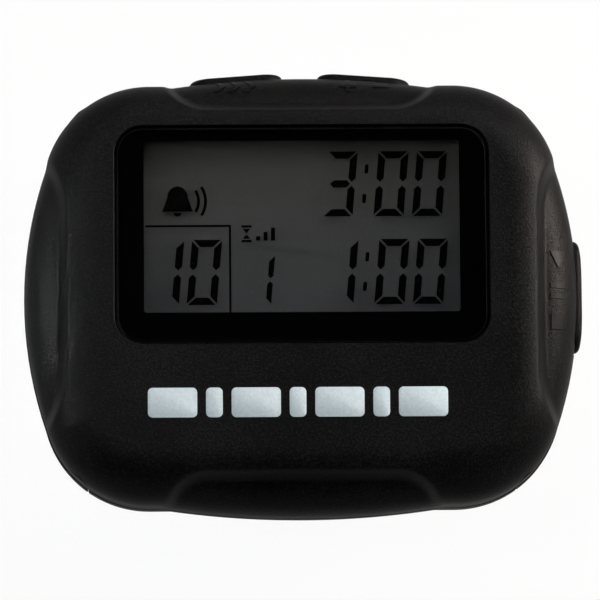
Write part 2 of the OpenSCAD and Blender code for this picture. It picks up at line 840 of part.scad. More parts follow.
module rear_shell() {
    color([0.09, 0.09, 0.1]) difference() {
        union() {
            difference() {
                rear_form();
                difference() {
                    translate([0, 0, floor_z]) linear_extrude(far) case_plan(wall);
                    side_rails();
                    translate([-door_half, door_high + slide_gap, 0]) cube([door_w, rail_t, tray_foot + eps]);
                    for (p = top_screws) post(p, boss_r + 0.6, 0, split_z);
                }
                door_block(slide_gap);
            }
            hook_bar();
            battery_tray();
            low_shelf();
            for (s = [-1, 1]) post([s * stake_x, hinge_y], stake_r, floor_z - eps, floor_z + bracket_t + 0.3);
        }
        button_openings();
        for (p = top_screws) {
            post(p, screw_r + fit_gap, 0, face_z);
            post(p, screw_head_r + 0.25, 0, counterbore_z);
        }
        for (x = [-1, 0, 1], y = [-1, 0, 1])
            if (abs(x) + abs(y) < 2)
                post([buzzer_at[0] + 2 * x, buzzer_at[1] + 2 * y], 0.5, 0, split_z);
        bracket_slots();
        hook_room();
    }
}

// Hooks on the upper edge of the door, half as thick as the back, which slide in behind the back's skin
module door_hooks() {
    for (s = [-1, 1])
        translate([s * hook_x - hook_w / 2, door_high - eps, back_z + hook_skin + fit_gap])
            cube([hook_w, hook_l + eps, back_wall - hook_skin - fit_gap]);
}

// Room for the hooks behind the back's skin
module hook_room() {
    for (s = [-1, 1])
        translate([s * hook_x - hook_w / 2 - slide_gap, door_high - eps, back_z + hook_skin])
            cube([hook_w + 2 * slide_gap, hook_l + slide_gap, tray_foot - back_z - hook_skin]);
}

// Battery door: the lower part of the back with the wall below the battery
module battery_door() {
    color([0.09, 0.09, 0.1]) {
        difference() {
            intersection() {
                rear_form();
                door_block(0);
                translate([-far / 2, -far / 2, 0]) cube([far, far, split_z - slide_gap]);
            }
            translate([0, 0, floor_z]) linear_extrude(far) case_plan(wall);
            for (i = [-1 : 1])
                translate([-7, door_grip_y + 1.3 * i, back_z - 1]) cube([14, 0.6, 1.4]);
        }
        door_hooks();
    }
}

// Pan-head screw that points up, its head under a seat
module pan_screw(at, seat, end) {
    post(at, screw_r, seat - eps, end);
    difference() {
        post(at, screw_head_r, seat - screw_head_h, seat);
        for (a = [0, 90])
            translate([at[0], at[1], seat - screw_head_h]) rotate(a) cube([1.8, 0.4, 1], center = true);
    }
}

module case_screws() {
    color("dimgray") {
        for (p = top_screws) pan_screw(p, counterbore_z, shank_end);
        for (p = low_screws) pan_screw(p, low_head_top, shank_end);
    }
}

module board_screws() {
    color("silver") for (p = board_screws_at) pan_screw(p, board_bottom, board_top + board_screw_l);
}

// Plan of one ear: round at the pin, straight up to its root
module ear_outline(top) {
    translate([hinge_y, pin_z]) circle(ear_r);
    translate([hinge_y - ear_r, pin_z]) square([2 * ear_r, top - pin_z]);
}

// Plates square to the pin at both sides, from one distance outwards
module both_sides(from, thick) {
    for (s = [0, 1])
        mirror([s, 0, 0]) translate([from, 0, 0]) rotate([90, 0, 90]) linear_extrude(thick) children();
}

// Slots in the back that the bracket's ears pass through
module bracket_slots() {
    for (s = [0, 1])
        mirror([s, 0, 0])
            translate([ear_span / 2 - fit_gap, hinge_y - ear_r - fit_gap, 0])
                cube([ear_t + 2 * fit_gap, 2 * ear_r + 2 * fit_gap, floor_z + 1]);
}

// Hinge bracket: a plate inside the back with two ears that stand out through it
module clip_bracket() {
    plate_w = ear_span + 2 * ear_t + 3;
    plate_d = 2 * ear_r + 2.4;
    color("silver") difference() {
        union() {
            both_sides(ear_span / 2, ear_t) ear_outline(floor_z + eps);
            translate([-plate_w / 2, hinge_y - plate_d / 2, floor_z]) cube([plate_w, plate_d, bracket_t]);
        }
        translate([-far / 2, hinge_y, pin_z]) rotate([0, 90, 0]) cylinder(r = pin_r + 0.02, h = far);
        for (s = [-1, 1]) post([s * stake_x, hinge_y], stake_r + fit_gap, floor_z - 1, floor_z + 2);
    }
}

module clip_pin() {
    color("silver") translate([-pin_half_l, hinge_y, pin_z]) rotate([0, 90, 0])
        cylinder(r = pin_r, h = 2 * pin_half_l);
}

// Clip: a flat plate with a thumb end, a jaw that turns up to the back, and two lugs on the pin
module clip_lever() {
    clip_mid = (clip_high + clip_low) / 2;
    jaw_top = back_z - jaw_gap;
    color([0.09, 0.09, 0.1]) difference() {
        union() {
            translate([0, clip_mid, 0]) linear_extrude(clip_t) rounded_plate(clip_w, clip_l, 3);
            rotate([90, 0, 90]) translate([0, 0, -clip_w / 2 + 3]) linear_extrude(clip_w - 6) {
                translate([clip_low, clip_t - eps]) square([jaw_t, jaw_top - clip_t - jaw_t / 2 + eps]);
                translate([clip_low + jaw_t / 2, jaw_top - jaw_t / 2]) circle(jaw_t / 2);
            }
            both_sides(lug_in, ear_t)
                translate([0, 2 * pin_z]) mirror([0, 1]) ear_outline(2 * pin_z - clip_t + eps);
        }
        translate([-far / 2, hinge_y, pin_z]) rotate([0, 90, 0]) cylinder(r = pin_r + pin_gap, h = far);
        for (i = [0 : 2])
            translate([-clip_w / 2 + 4, clip_high - 2.4 - 1.6 * i, -1]) cube([clip_w - 8, 0.7, 1.4]);
    }
}

front_shell();
display_window();
lcd_front_glass();
lcd_rear_glass();
lcd_reflector();
lcd_frame();
zebra_connector();
circuit_board();
controller_blob();
quartz_crystal();
chip_capacitors();
buzzer();
vibration_motor();
tact_switches();
next_button();
next_plunger();
change_button();
change_plunger();
start_button();
start_plunger();
battery_cell();
negative_spring();
negative_contact();
positive_contact();
rear_shell();
battery_door();
case_screws();
board_screws();
clip_bracket();
clip_pin();
clip_spring();
clip_lever();
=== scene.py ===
# %% [markdown]
# # A round timer for the gym
# This lesson dresses a finished construction model. The timer is a black pocket case with a segment
# display behind a glossy window, two buttons on its top edge, one on its right edge and a sprung clip
# on its back. The construction model gives the main places and sizes, and each step below makes one
# piece or finish around it.

# %% Load the frame
import math

import bmesh
import bpy
import numpy as np
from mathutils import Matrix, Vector


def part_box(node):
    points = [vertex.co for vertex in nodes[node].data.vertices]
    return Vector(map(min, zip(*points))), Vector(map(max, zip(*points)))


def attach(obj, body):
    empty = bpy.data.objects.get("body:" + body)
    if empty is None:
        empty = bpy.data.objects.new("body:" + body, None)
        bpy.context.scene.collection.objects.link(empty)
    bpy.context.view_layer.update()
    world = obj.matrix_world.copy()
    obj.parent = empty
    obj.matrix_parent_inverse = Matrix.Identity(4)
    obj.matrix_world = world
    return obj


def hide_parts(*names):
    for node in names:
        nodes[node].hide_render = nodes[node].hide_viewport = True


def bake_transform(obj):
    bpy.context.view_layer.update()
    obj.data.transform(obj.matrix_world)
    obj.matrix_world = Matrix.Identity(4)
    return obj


MM = 0.001
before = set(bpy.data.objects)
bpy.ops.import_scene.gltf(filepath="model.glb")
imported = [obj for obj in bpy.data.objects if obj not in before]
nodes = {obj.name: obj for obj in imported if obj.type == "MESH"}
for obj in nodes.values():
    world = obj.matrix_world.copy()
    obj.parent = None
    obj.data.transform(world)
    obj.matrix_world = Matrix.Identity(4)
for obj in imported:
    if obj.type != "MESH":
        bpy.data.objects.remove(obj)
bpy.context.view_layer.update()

# %% [markdown]
# ## Heights and widths that every piece shares
# A piece that sits on another takes its place from the construction model, so that the two always
# meet. The helper gives one node's corners in millimetres, which are easier to read here than metres.


# %% Sizes from the frame
def corners(node):
    low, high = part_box(node)
    return np.array(low) / MM, np.array(high) / MM


BODY_W = 2 * corners("rear_shell")[1][0]
BODY_H = 51.0
SPLIT_Z = corners("front_shell")[0][2]
FACE_Z = corners("front_shell")[1][2]
print("case", BODY_W, "by", BODY_H, "mm, with its face at", FACE_Z)

# %% [markdown]
# ## The camera
# The photograph looks down on the timer, a little from its lower edge. A long lens far away keeps the
# outline nearly parallel, as it is there. The image is square, so one width in millimetres fixes the
# focal length.

# %% Camera
LOOK_ELEVATION = 82.0
LOOK_DISTANCE = 620 * MM
LOOK_WIDTH = 69.15 * MM
LOOK_SWING = 1.1
LOOK_ROLL = 0.45
SENSOR = 36.0
aim = Vector((-0.15 * MM, -0.36 * MM, 15.5 * MM))
camera = bpy.data.objects.new("camera", bpy.data.cameras.new("camera"))
camera.data.sensor_width = SENSOR
camera.data.lens = SENSOR * LOOK_DISTANCE / LOOK_WIDTH
camera.data.clip_start = 0.01
camera.rotation_euler = (math.radians(90 - LOOK_ELEVATION), math.radians(-LOOK_SWING), 0)
camera.location = aim + LOOK_DISTANCE * (camera.rotation_euler.to_matrix() @ Vector((0, 0, 1)))
camera.rotation_euler.rotate_axis("Z", math.radians(-LOOK_ROLL))
bpy.context.scene.collection.objects.link(camera)
bpy.context.scene.camera = camera
bpy.context.scene.view_settings.view_transform = "Standard"
print("focal length", round(camera.data.lens, 1), "mm")

# %% [markdown]
# ## Finishes as sums
# Blender's shaders are graphs of nodes. Drawing a graph in code is easier to read as arithmetic, so
# this small class wraps one socket and lets plus, minus and times add the Math nodes. Every other
# node comes from `node`.


# %% Sockets that can be added and multiplied
class Socket:
    def __init__(self, tree, socket):
        self.tree = tree
        self.socket = socket

    def node(self, kind, settings=None, inputs=None, output=0):
        made = self.tree.nodes.new(kind)
        for name, value in (settings or {}).items():
            if name == "stops":
                set_stops(made.color_ramp, value)
            else:
                setattr(made, name, value)
        for key, value in (inputs or {}).items():
            if isinstance(value, Socket):
                self.tree.links.new(value.socket, made.inputs[key])
            else:
                made.inputs[key].default_value = value
        return Socket(self.tree, made.outputs[output])

    def math(self, operation, first, second=0.0):
        return self.node("ShaderNodeMath", {"operation": operation}, {0: first, 1: second})

    def __add__(self, other):
        return self.math("ADD", self, other)

    def __radd__(self, other):
        return self.math("ADD", other, self)

    def __sub__(self, other):
        return self.math("SUBTRACT", self, other)

    def __rsub__(self, other):
        return self.math("SUBTRACT", other, self)

    def __mul__(self, other):
        return self.math("MULTIPLY", self, other)

    def __rmul__(self, other):
        return self.math("MULTIPLY", other, self)

    def above(self, level):
        return self.math("GREATER_THAN", self, level)

    def mix(self, first, second):
        settings = {"data_type": "RGBA"}
        return self.node("ShaderNodeMix", settings, {0: self, 6: first, 7: second}, output=2)

    def times_colour(self, other):
        settings = {"data_type": "RGBA", "blend_type": "MULTIPLY"}
        return self.node("ShaderNodeMix", settings, {0: 1.0, 6: self, 7: other}, output=2)

    def ramp(self, *stops):
        return self.node("ShaderNodeValToRGB", {"stops": stops}, {0: self})


def set_stops(ramp, stops):
    while len(ramp.elements) < len(stops):
        ramp.elements.new(1.0)
    for element, (place, colour) in zip(ramp.elements, stops):
        element.position = place
        element.color = colour


def grey(level):
    return (level, level, level, 1.0)


# %% [markdown]
# ## One sheet per finish
# A finish starts from a Principled shader and from places on the piece in metres, so a grain of a
# fifth of a millimetre is the same on the small buttons and on the large case. `noise` gives such a
# grain, and `dent` turns it into a relief that only bends the light.


# %% A sheet for a finish
class Sheet:
    def __init__(self, name):
        self.material = bpy.data.materials.new(name)
        self.material.use_nodes = True
        self.tree = self.material.node_tree
        self.shader = self.tree.nodes["Principled BSDF"]
        self.output = self.tree.nodes["Material Output"]
        self.start = Socket(self.tree, None)
        self.place = self.start.node("ShaderNodeTexCoord", output=3)

    def set(self, **values):
        for name, value in values.items():
            socket = self.shader.inputs[name.replace("_", " ")]
            if isinstance(value, Socket):
                self.tree.links.new(value.socket, socket)
            else:
                socket.default_value = value

    def noise(self, grain_mm, detail=2.0):
        inputs = {"Vector": self.place, "Scale": 1 / (grain_mm * MM), "Detail": detail}
        return self.start.node("ShaderNodeTexNoise", None, inputs)

    def cells(self, grain_mm):
        inputs = {"Vector": self.place, "Scale": 1 / (grain_mm * MM)}
        return self.start.node("ShaderNodeTexVoronoi", {"feature": "F1"}, inputs)

    def axis(self, index):
        return self.start.node("ShaderNodeSeparateXYZ", None, {0: self.place}, output=index)

    def dent(self, height, depth_mm):
        inputs = {"Height": height, "Strength": 1.0, "Distance": depth_mm * MM}
        self.set(Normal=self.start.node("ShaderNodeBump", None, inputs))


# %% [markdown]
# ## Black spark-textured plastic
# The case is moulded in a tool whose steel was roughened by sparks. That leaves a fine grain of small
# round pits, which breaks the shine into a soft grey. A fine noise and a cell pattern together give
# the pits, the colour stays nearly black, and the roughness wanders a little so that broad highlights
# look handled and not painted.

# %% Case plastic
SPECKLE = ((0.36, 0.3), (0.5, 0.9), (0.62, 2.6))
COOL = (0.97, 0.99, 1.05)
HANDLED_GRAIN = 9.0
WEAK_SHINE = 0.073
CASE_BLACK = 0.0038


def spark_plastic(name, black, roughness, grain_mm, depth_mm):
    sheet = Sheet(name)
    pits = sheet.cells(grain_mm)
    fine = sheet.noise(grain_mm * 1.2)
    broad = sheet.noise(HANDLED_GRAIN, detail=3.0)
    stops = [(place, tuple(black * level * c for c in COOL) + (1,)) for place, level in SPECKLE]
    sheet.set(Base_Color=(fine * 0.8 + broad * 0.2).ramp(*stops))
    sheet.set(Roughness=roughness - 0.1 + 0.1 * broad + 0.14 * fine)
    sheet.dent(pits * 0.7 + fine * 0.6, depth_mm)
    sheet.set(Specular_IOR_Level=WEAK_SHINE)
    return sheet.material


case_plastic = spark_plastic("spark_textured_case", CASE_BLACK, 0.43, 0.2, 0.032)
clip_plastic = spark_plastic("spark_textured_clip", CASE_BLACK * 0.95, 0.45, 0.2, 0.025)
button_rubber = spark_plastic("fine_grain_button", CASE_BLACK * 0.85, 0.5, 0.17, 0.02)

# %% [markdown]
# ## Clear window, black print and film
# The window is clear acrylic. Its border is black because the back of the acrylic is printed there.
# Glass in Cycles stops lamps, so a Light Path switch lets their light through to the panel below,
# while the eye still sees a polished surface. The panel's own glass is nearly all film: clear over
# the picture, and black over the ledge that holds its contacts.

# %% Window finishes
FILM_CLEAR = 0.97
LEDGE_MARGIN = 0.05


def clear_finish(name, tint, ior, roughness):
    sheet = Sheet(name)
    sheet.set(Base_Color=tint, Roughness=roughness, IOR=ior, Transmission_Weight=1.0)
    path = sheet.start.node("ShaderNodeLightPath", output=1)
    open_way = sheet.start.node("ShaderNodeBsdfTransparent", None, {0: tint})
    polished = Socket(sheet.tree, sheet.shader.outputs[0])
    both = sheet.start.node("ShaderNodeMixShader", None, {0: path, 1: polished, 2: open_way})
    sheet.tree.links.new(both.socket, sheet.output.inputs["Surface"])
    return sheet.material


def flat_black(name, colour, grain_mm):
    sheet = Sheet(name)
    sheet.set(Base_Color=colour, Roughness=0.7 + 0.1 * sheet.noise(grain_mm), Specular_IOR_Level=0.0)
    return sheet.material


def film_finish():
    """A film that is clear above the lower end of the rear glass and black below it."""
    sheet = Sheet("panel_glass_film")
    ledge = corners("lcd_rear_glass")[0][1] + LEDGE_MARGIN
    clear = sheet.axis(1).above(ledge * MM)
    sheet.set(Base_Color=grey(0.003), Roughness=0.3 + 0.1 * sheet.noise(0.6))
    sheet.set(Alpha=1 - FILM_CLEAR * clear, Specular_IOR_Level=0.02)
    return sheet.material


window_clear = clear_finish("window_clear_acrylic", (0.97, 0.98, 0.98, 1), 1.49, 0.0)
window_edge = spark_plastic("window_cut_edge", 0.0025, 0.5, 0.3, 0.01)
glass_clear = film_finish()
border_black = flat_black("window_back_print", grey(0.0004), 2.0)

# %% [markdown]
# ## The liquid crystal panel
# A panel of this kind has no light of its own. Two glasses with polarising film lie on a grey foil,
# and a segment that is switched on turns dark. The segments lie a little above the foil, so each one
# has a soft shadow beside it. The foil is slightly warm near the top and cool near the bottom, with a
# faint speckle. It is also painted a little lighter towards the top, as painted light that evens out
# the shadow which the window's top edge throws on the panel.

# %% Panel finishes
TINT_AND_PAINTED_LIGHT_LENGTH = 24 * MM
TINT_AND_PAINTED_LIGHT_START = 0.2


def foil_finish():
    sheet = Sheet("panel_foil")
    up = sheet.axis(1) * (1 / TINT_AND_PAINTED_LIGHT_LENGTH) + TINT_AND_PAINTED_LIGHT_START
    speckle = sheet.noise(0.35, detail=3.0)
    # The ramp holds the foil's own warm-to-cool tint, and its lighter top end is painted light against
    # the shadow of the window's top edge.
    tone = up.ramp((0.0, (0.048, 0.05, 0.055, 1)), (1.0, (0.057, 0.058, 0.053, 1)))
    shade = speckle.ramp((0.25, grey(0.9)), (0.75, grey(1.08)))
    sheet.set(Base_Color=tone.times_colour(shade), Roughness=0.75 + 0.1 * speckle)
    sheet.set(Specular_IOR_Level=0.15)
    return sheet.material


panel_foil = foil_finish()
dark_segment = flat_black("dark_segment", (0.0009, 0.0009, 0.0011, 1), 0.4)

# %% [markdown]
# ## Points, rings and pieces
# Nearly every piece here is a stack of closed rings with the same number of points, joined by strips
# of quads. It gives clean closed meshes and lets an edge be rounded by adding rings. `make_piece`
# turns millimetre points into a Blender object, gives it its finish and fixes it to a body of the
# model, so that it moves with that body. A piece given no body, such as the clip's spring, is fixed to
# none.

# %% Mesh helpers
SHARP_EDGE = 38.0


def loft(rings, close_ends=True):
    count = len(rings[0])
    faces = []
    for row in range(len(rings) - 1):
        low = row * count
        for k in range(count):
            after = (k + 1) % count
            faces.append((low + k, low + after, low + count + after, low + count + k))
    if close_ends:
        last = (len(rings) - 1) * count
        faces.append(tuple(reversed(range(count))))
        faces.append(tuple(range(last, last + count)))
    return np.vstack(rings), faces


def merge(parts):
    points = []
    faces = []
    start = 0
    for some_points, some_faces in parts:
        points.append(some_points)
        faces += [tuple(start + k for k in face) for face in some_faces]
        start += len(some_points)
    return np.vstack(points), faces


def closed_sheet(patch, upper, lower):
    """A solid between two copies of an open sheet of faces."""
    faces = [tuple(vert.index for vert in face.verts) for face in patch.faces]
    count = len(upper)
    closed = faces + [tuple(count + k for k in reversed(face)) for face in faces]
    for edge in patch.edges:
        if edge.is_boundary:
            first, second = (vert.index for vert in edge.verts)
            closed.append((first, second, count + second, count + first))
    patch.free()
    return np.vstack([upper, lower]), closed


def make_mesh(name, points, faces):
    mesh = bpy.data.meshes.new(name)
    mesh.from_pydata((np.asarray(points) * MM).tolist(), [], faces)
    shape = bmesh.new()
    shape.from_mesh(mesh)
    bmesh.ops.recalc_face_normals(shape, faces=shape.faces)
    shape.to_mesh(mesh)
    shape.free()
    return mesh


def smooth(mesh, sharp_edge=SHARP_EDGE):
    mesh.polygons.foreach_set("use_smooth", [True] * len(mesh.polygons))
    mesh.set_sharp_from_angle(angle=math.radians(sharp_edge))


def make_piece(name, solid, material, body, stands_for=(), sharp_edge=SHARP_EDGE):
    mesh = make_mesh(name, *solid)
    smooth(mesh, sharp_edge)
    mesh.materials.append(material)
    piece = bpy.data.objects.new(name, mesh)
    bpy.context.scene.collection.objects.link(piece)
    if body:
        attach(piece, body)
    if stands_for:
        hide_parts(*stands_for)
    print(name, len(mesh.vertices), "points")
    return piece


# %% Cutting one piece with another
def cut(piece, solids):
    for solid in solids:
        cutter = bpy.data.objects.new("cutter", make_mesh("cutter", *solid))
        bpy.context.scene.collection.objects.link(cutter)
        step = piece.modifiers.new("cut", "BOOLEAN")
        step.object = cutter
        step.operation = "DIFFERENCE"
        step.solver = "EXACT"
        ready = piece.evaluated_get(bpy.context.evaluated_depsgraph_get())
        mesh = bpy.data.meshes.new_from_object(ready)
        piece.modifiers.clear()
        piece.data = mesh
        bpy.data.objects.remove(cutter)
    smooth(piece.data)
    print(piece.name, "after", len(solids), "cuts:", len(piece.data.polygons), "faces")


# %% [markdown]
# ## Rounded outlines
# Windows, buttons and bars are all rounded rectangles. An outline with a fixed number of points per
# corner can be moved in or out without changing its count, which is what the rings need.


# %% Rounded rectangles
def rounded_outline(width, height, radius, inset=0.0, centre=(0.0, 0.0), steps=10):
    radius = max(radius - inset, 0.02)
    half_w = width / 2 - inset - radius
    half_h = height / 2 - inset - radius
    points = []
    for quarter, (sx, sy) in enumerate(((1, 1), (-1, 1), (-1, -1), (1, -1))):
        for k in range(steps + 1):
            turn = math.radians(90 * (quarter + k / steps))
            x = centre[0] + sx * half_w + radius * math.cos(turn)
            y = centre[1] + sy * half_h + radius * math.sin(turn)
            points.append((x, y))
    return np.array(points)


def at_height(outline, z):
    return np.column_stack([outline, np.full(len(outline), z)])


def rounded_plate(width, height, radius, centre, levels, steps=10):
    """A plate whose outline is moved in by the given inset at each height."""
    rings = [at_height(rounded_outline(width, height, radius, i, centre, steps), z) for i, z in levels]
    return loft(rings)


# %% [markdown]
# ## The form of the case
# Seen from the front, the case has four round corner lobes, and its sides and ends bow out between
# them. Sculpting this by hand would be slow and never even. Here the outline and the height of the
# surface are formulas: large circles for the bows, a rounded rectangle for the lobes, and a soft step
# where the scallops are cut into the face.

# %% Outline of the case
SIDE_R = 47.0
END_R = 105.0
LOBE_W = BODY_W - 2 * 2.1
LOBE_H = BODY_H - 2 * 1.2
LOBE_R = 12.3
RIM_STOP_X = 16.6
RIM_STOP_Y = 16.2
OUTLINE_POINTS = 760


def box_gap(x, y, width, height, radius):
    """Distance to a rounded rectangle, below zero inside it."""
    across = np.abs(x) - (width / 2 - radius)
    along = np.abs(y) - (height / 2 - radius)
    outside = np.hypot(np.maximum(across, 0), np.maximum(along, 0))
    return outside + np.minimum(np.maximum(across, along), 0) - radius


def bow_depths(x, y):
    """Depth of a place inside each of the four large circles."""
    sides = [SIDE_R - np.hypot(x - sign * (BODY_W / 2 - SIDE_R), y) for sign in (-1, 1)]
    ends = [END_R - np.hypot(x, y - sign * (BODY_H / 2 - END_R)) for sign in (-1, 1)]
    return sides + ends


def inside_case(x, y):
    between_lobes = (np.abs(x) < RIM_STOP_X) | (np.abs(y) < RIM_STOP_Y)
    bowed = (np.min(bow_depths(x, y), axis=0) > 0) & between_lobes
    return bowed | (box_gap(x, y, LOBE_W, LOBE_H, LOBE_R) < 0)


def reach(turns, inside, furthest=45.0):
    """How far each direction runs before it leaves a shape."""
    low = np.zeros_like(turns)
    high = np.full_like(turns, furthest)
    for _ in range(40):
        middle = (low + high) / 2
        within = inside(middle * np.cos(turns), middle * np.sin(turns))
        low = np.where(within, middle, low)
        high = np.where(within, high, middle)
    return low


def even_outline(inside, count, soften=6):
    """Evenly spaced points round a shape, with its inner corners softened."""
    turns = np.linspace(0, 2 * math.pi, 8000, endpoint=False)
    far = reach(turns, inside)
    dense = np.column_stack([far * np.cos(turns), far * np.sin(turns)])
    closed = np.vstack([dense, dense[:1]])
    walked = np.concatenate([[0], np.cumsum(np.hypot(*np.diff(closed, axis=0).T))])
    wanted = np.linspace(0, walked[-1], count, endpoint=False)
    points = np.column_stack([np.interp(wanted, walked, closed[:, k]) for k in (0, 1)])
    for _ in range(soften):
        points = (np.roll(points, 1, 0) + 2 * points + np.roll(points, -1, 0)) / 4
    return points


outline = even_outline(inside_case, OUTLINE_POINTS)
along = np.roll(outline, -1, 0) - np.roll(outline, 1, 0)
inward = np.column_stack([-along[:, 1], along[:, 0]])
inward /= np.hypot(*inward.T)[:, None]
print("outline", np.round(np.ptp(outline, axis=0), 2), "mm")

# %% [markdown]
# ## The surface of the front
# Each lobe and the bowed rim are rolled over by a circular edge, and the rim lies lower than the
# face. The scallop's step is a slope a little over a millimetre wide, because moulded plastic never
# has a knife edge there.

# %% Height of the front
LOBE_ROLL = 6.0
RIM_ROLL = 5.5
RIM_Z = FACE_Z - 2.5
# Where a scallop starts, the length of its straight part and its corner radius
SIDE_SCALLOP = (BODY_W / 2 - 4.75, 18.2, 10.9)
END_SCALLOP = (BODY_H / 2 - 4.6, 21.4, 5.2)
STEP_OUT = 0.95
STEP_IN = 0.35


def rolled(depth, roll, top):
    """Height of an edge that is rolled over by a quarter circle."""
    short = roll - np.clip(depth, 0, roll)
    return top - roll + np.sqrt(roll**2 - short**2)


def scallop_gap(x, y):
    """Distance to the nearest scallop, below zero inside it."""
    gaps = []
    for (line, flat, radius), out, across in ((SIDE_SCALLOP, x, y), (END_SCALLOP, y, x)):
        deep = 2 * radius + 4
        gaps.append(box_gap(np.abs(out) - line - deep / 2, across, deep, flat + 2 * radius, radius))
    return np.minimum(*gaps)


def front_height(x, y):
    rim = np.min([rolled(d, RIM_ROLL, RIM_Z) for d in bow_depths(x, y)], axis=0)
    lobe = rolled(-box_gap(x, y, LOBE_W, LOBE_H, LOBE_R), LOBE_ROLL, FACE_Z)
    share = np.clip((scallop_gap(x, y) + STEP_OUT) / (STEP_OUT + STEP_IN), 0, 1)
    soft_share = share * share * (3 - 2 * share)
    return rim + (np.maximum(lobe, rim) - rim) * soft_share


# %% [markdown]
# ## The front shell
# The rings start on the flat face and run outwards over the step and the roll to the vertical side,
# down to the parting line, and then back up inside, so the shell has a real wall. The window's
# recess, the opening for the panel and the three button openings are then cut out of it.

# %% Front shell
WALL = 1.8
ROOF_Z = FACE_Z - 1.8
LOWER_ROOF_Z = SPLIT_Z + 4.0
# Width, height and corner radius of the space under the face
CAVITY = (51.3, 38.6, 3.5)
PARTING_CHAMFER = 0.14
EDGE_ZONE = 0.9
EDGE_RINGS = 12
FACE_ZONE = 8.2
RING_STEP = 0.19


def moved_in(depth, z):
    return np.column_stack([outline + inward * depth, np.broadcast_to(z, len(outline))])


def front_ring(depth):
    place = outline + inward * depth
    return np.column_stack([place, front_height(*place.T)])


def cavity_ring(z):
    turns = np.arctan2(outline[:, 1], outline[:, 0])
    far = reach(turns, lambda x, y: box_gap(x, y, *CAVITY) < 0)
    return np.column_stack([far * np.cos(turns), far * np.sin(turns), np.full(len(turns), z)])


edge_depths = EDGE_ZONE * (1 - np.cos(np.linspace(0, math.pi / 2, EDGE_RINGS)))
face_depths = np.arange(EDGE_ZONE, FACE_ZONE, RING_STEP)[1:]
front_rings = [front_ring(d) for d in np.concatenate([edge_depths, face_depths])[::-1]]
side_top = front_rings[-1][:, 2]
for share in (0.6, 0.25):
    front_rings.append(moved_in(0, SPLIT_Z + PARTING_CHAMFER + share * (side_top - SPLIT_Z)))
front_rings += [moved_in(0, SPLIT_Z + PARTING_CHAMFER), moved_in(PARTING_CHAMFER, SPLIT_Z)]
front_rings += [moved_in(WALL, SPLIT_Z), moved_in(WALL, LOWER_ROOF_Z)]
front_rings += [cavity_ring(LOWER_ROOF_Z), cavity_ring(ROOF_Z)]
front_piece = make_piece(
    "front_case", loft(front_rings), case_plastic, "case", ["front_shell"]
)

# %% Openings of the front shell
WINDOW_LOW, WINDOW_HIGH = corners("display_window")
WINDOW_W, WINDOW_H = (WINDOW_HIGH - WINDOW_LOW)[:2]
WINDOW_AT = tuple(((WINDOW_HIGH + WINDOW_LOW) / 2)[:2])
WINDOW_R = 3.2
RECESS_GAP = 0.02
RECESS_CHAMFER = 0.08
VIEW_W = 36.1
VIEW_H = 19.85
VIEW_AT = (0.0, 7.3)
OPENING_MORE = 1.6
OPENING_R = 1.0
BUTTON_GAP = 0.2
BUTTON_CUT = 20.0
BUTTON_H = 5.0
BUTTON_R = 2.2
TOP_BUTTON_L = 10.8
TOP_BUTTON_X = 7.4
START_BUTTON_L = 13.0
BUTTON_Z = SPLIT_Z

recess_levels = [
    (-RECESS_GAP, WINDOW_LOW[2]),
    (-RECESS_GAP, FACE_Z - RECESS_CHAMFER),
    (-RECESS_GAP - RECESS_CHAMFER, FACE_Z + 0.01),
    (-RECESS_GAP - RECESS_CHAMFER, FACE_Z + 1),
]
window_recess = rounded_plate(WINDOW_W, WINDOW_H, WINDOW_R, WINDOW_AT, recess_levels)
view_opening = rounded_plate(
    VIEW_W + OPENING_MORE, VIEW_H + OPENING_MORE, OPENING_R, VIEW_AT, [(0, ROOF_Z - 1), (0, FACE_Z)]
)


def to_top(points):
    """Turns a shape whose height points up into one that points out of the top end."""
    return np.column_stack([points[:, 0], points[:, 2], BUTTON_Z - points[:, 1]])


def to_right(points):
    """Turns a shape whose height points up into one that points out of the right side."""
    return np.column_stack([points[:, 2], points[:, 0], BUTTON_Z + points[:, 1]])


def button_opening(length, centre_x, start, turned):
    levels = [(-BUTTON_GAP, start), (-BUTTON_GAP, start + BUTTON_CUT)]
    points, faces = rounded_plate(length, BUTTON_H, BUTTON_R, (centre_x, 0), levels)
    return turned(points), faces


openings = [button_opening(TOP_BUTTON_L, sign * TOP_BUTTON_X, 20.0, to_top) for sign in (-1, 1)]
openings.append(button_opening(START_BUTTON_L, 0.0, 26.0, to_right))
cut(front_piece, [window_recess, view_opening] + openings)

# %% [markdown]
# ## Window and printed border
# The acrylic plate has a small bevel round its front edge. Its flat faces are clear, and its cut edge
# with the bevel is matt and dark. The black border is a ring a few hundredths of a millimetre thick
# on its back, open where the panel is seen. It throws no shadow, so the panel gets the light of the
# whole window.

# %% Window
WINDOW_TOP = WINDOW_HIGH[2]
PRINT_T = 0.04
PRINT_Z = WINDOW_LOW[2] + 0.01
WINDOW_BOTTOM = PRINT_Z + PRINT_T + 0.01
LENS_GAP = 0.36
EDGE_BEVEL = 0.09
window_levels = [
    (LENS_GAP, WINDOW_BOTTOM),
    (LENS_GAP, WINDOW_TOP - EDGE_BEVEL),
    (LENS_GAP + 0.3 * EDGE_BEVEL, WINDOW_TOP - 0.3 * EDGE_BEVEL),
    (LENS_GAP + EDGE_BEVEL, WINDOW_TOP),
]
window_solid = rounded_plate(WINDOW_W, WINDOW_H, WINDOW_R, WINDOW_AT, window_levels)
window_piece = make_piece(
    "window_plate", window_solid, window_clear, "case", ["display_window"], 12.0
)
window_piece.data.materials.append(window_edge)
for face in window_piece.data.polygons:
    face.material_index = int(abs(face.normal.z) < 0.99)


def ring_plate(outer, inner, low, high):
    """A flat ring between two outlines that have the same number of points."""
    rings = [at_height(outer, low), at_height(outer, high)]
    rings += [at_height(inner, high), at_height(inner, low)]
    points, faces = loft(rings, close_ends=False)
    count = len(outer)
    last = 3 * count
    faces += [(last + k, last + (k + 1) % count, (k + 1) % count, k) for k in range(count)]
    return points, faces


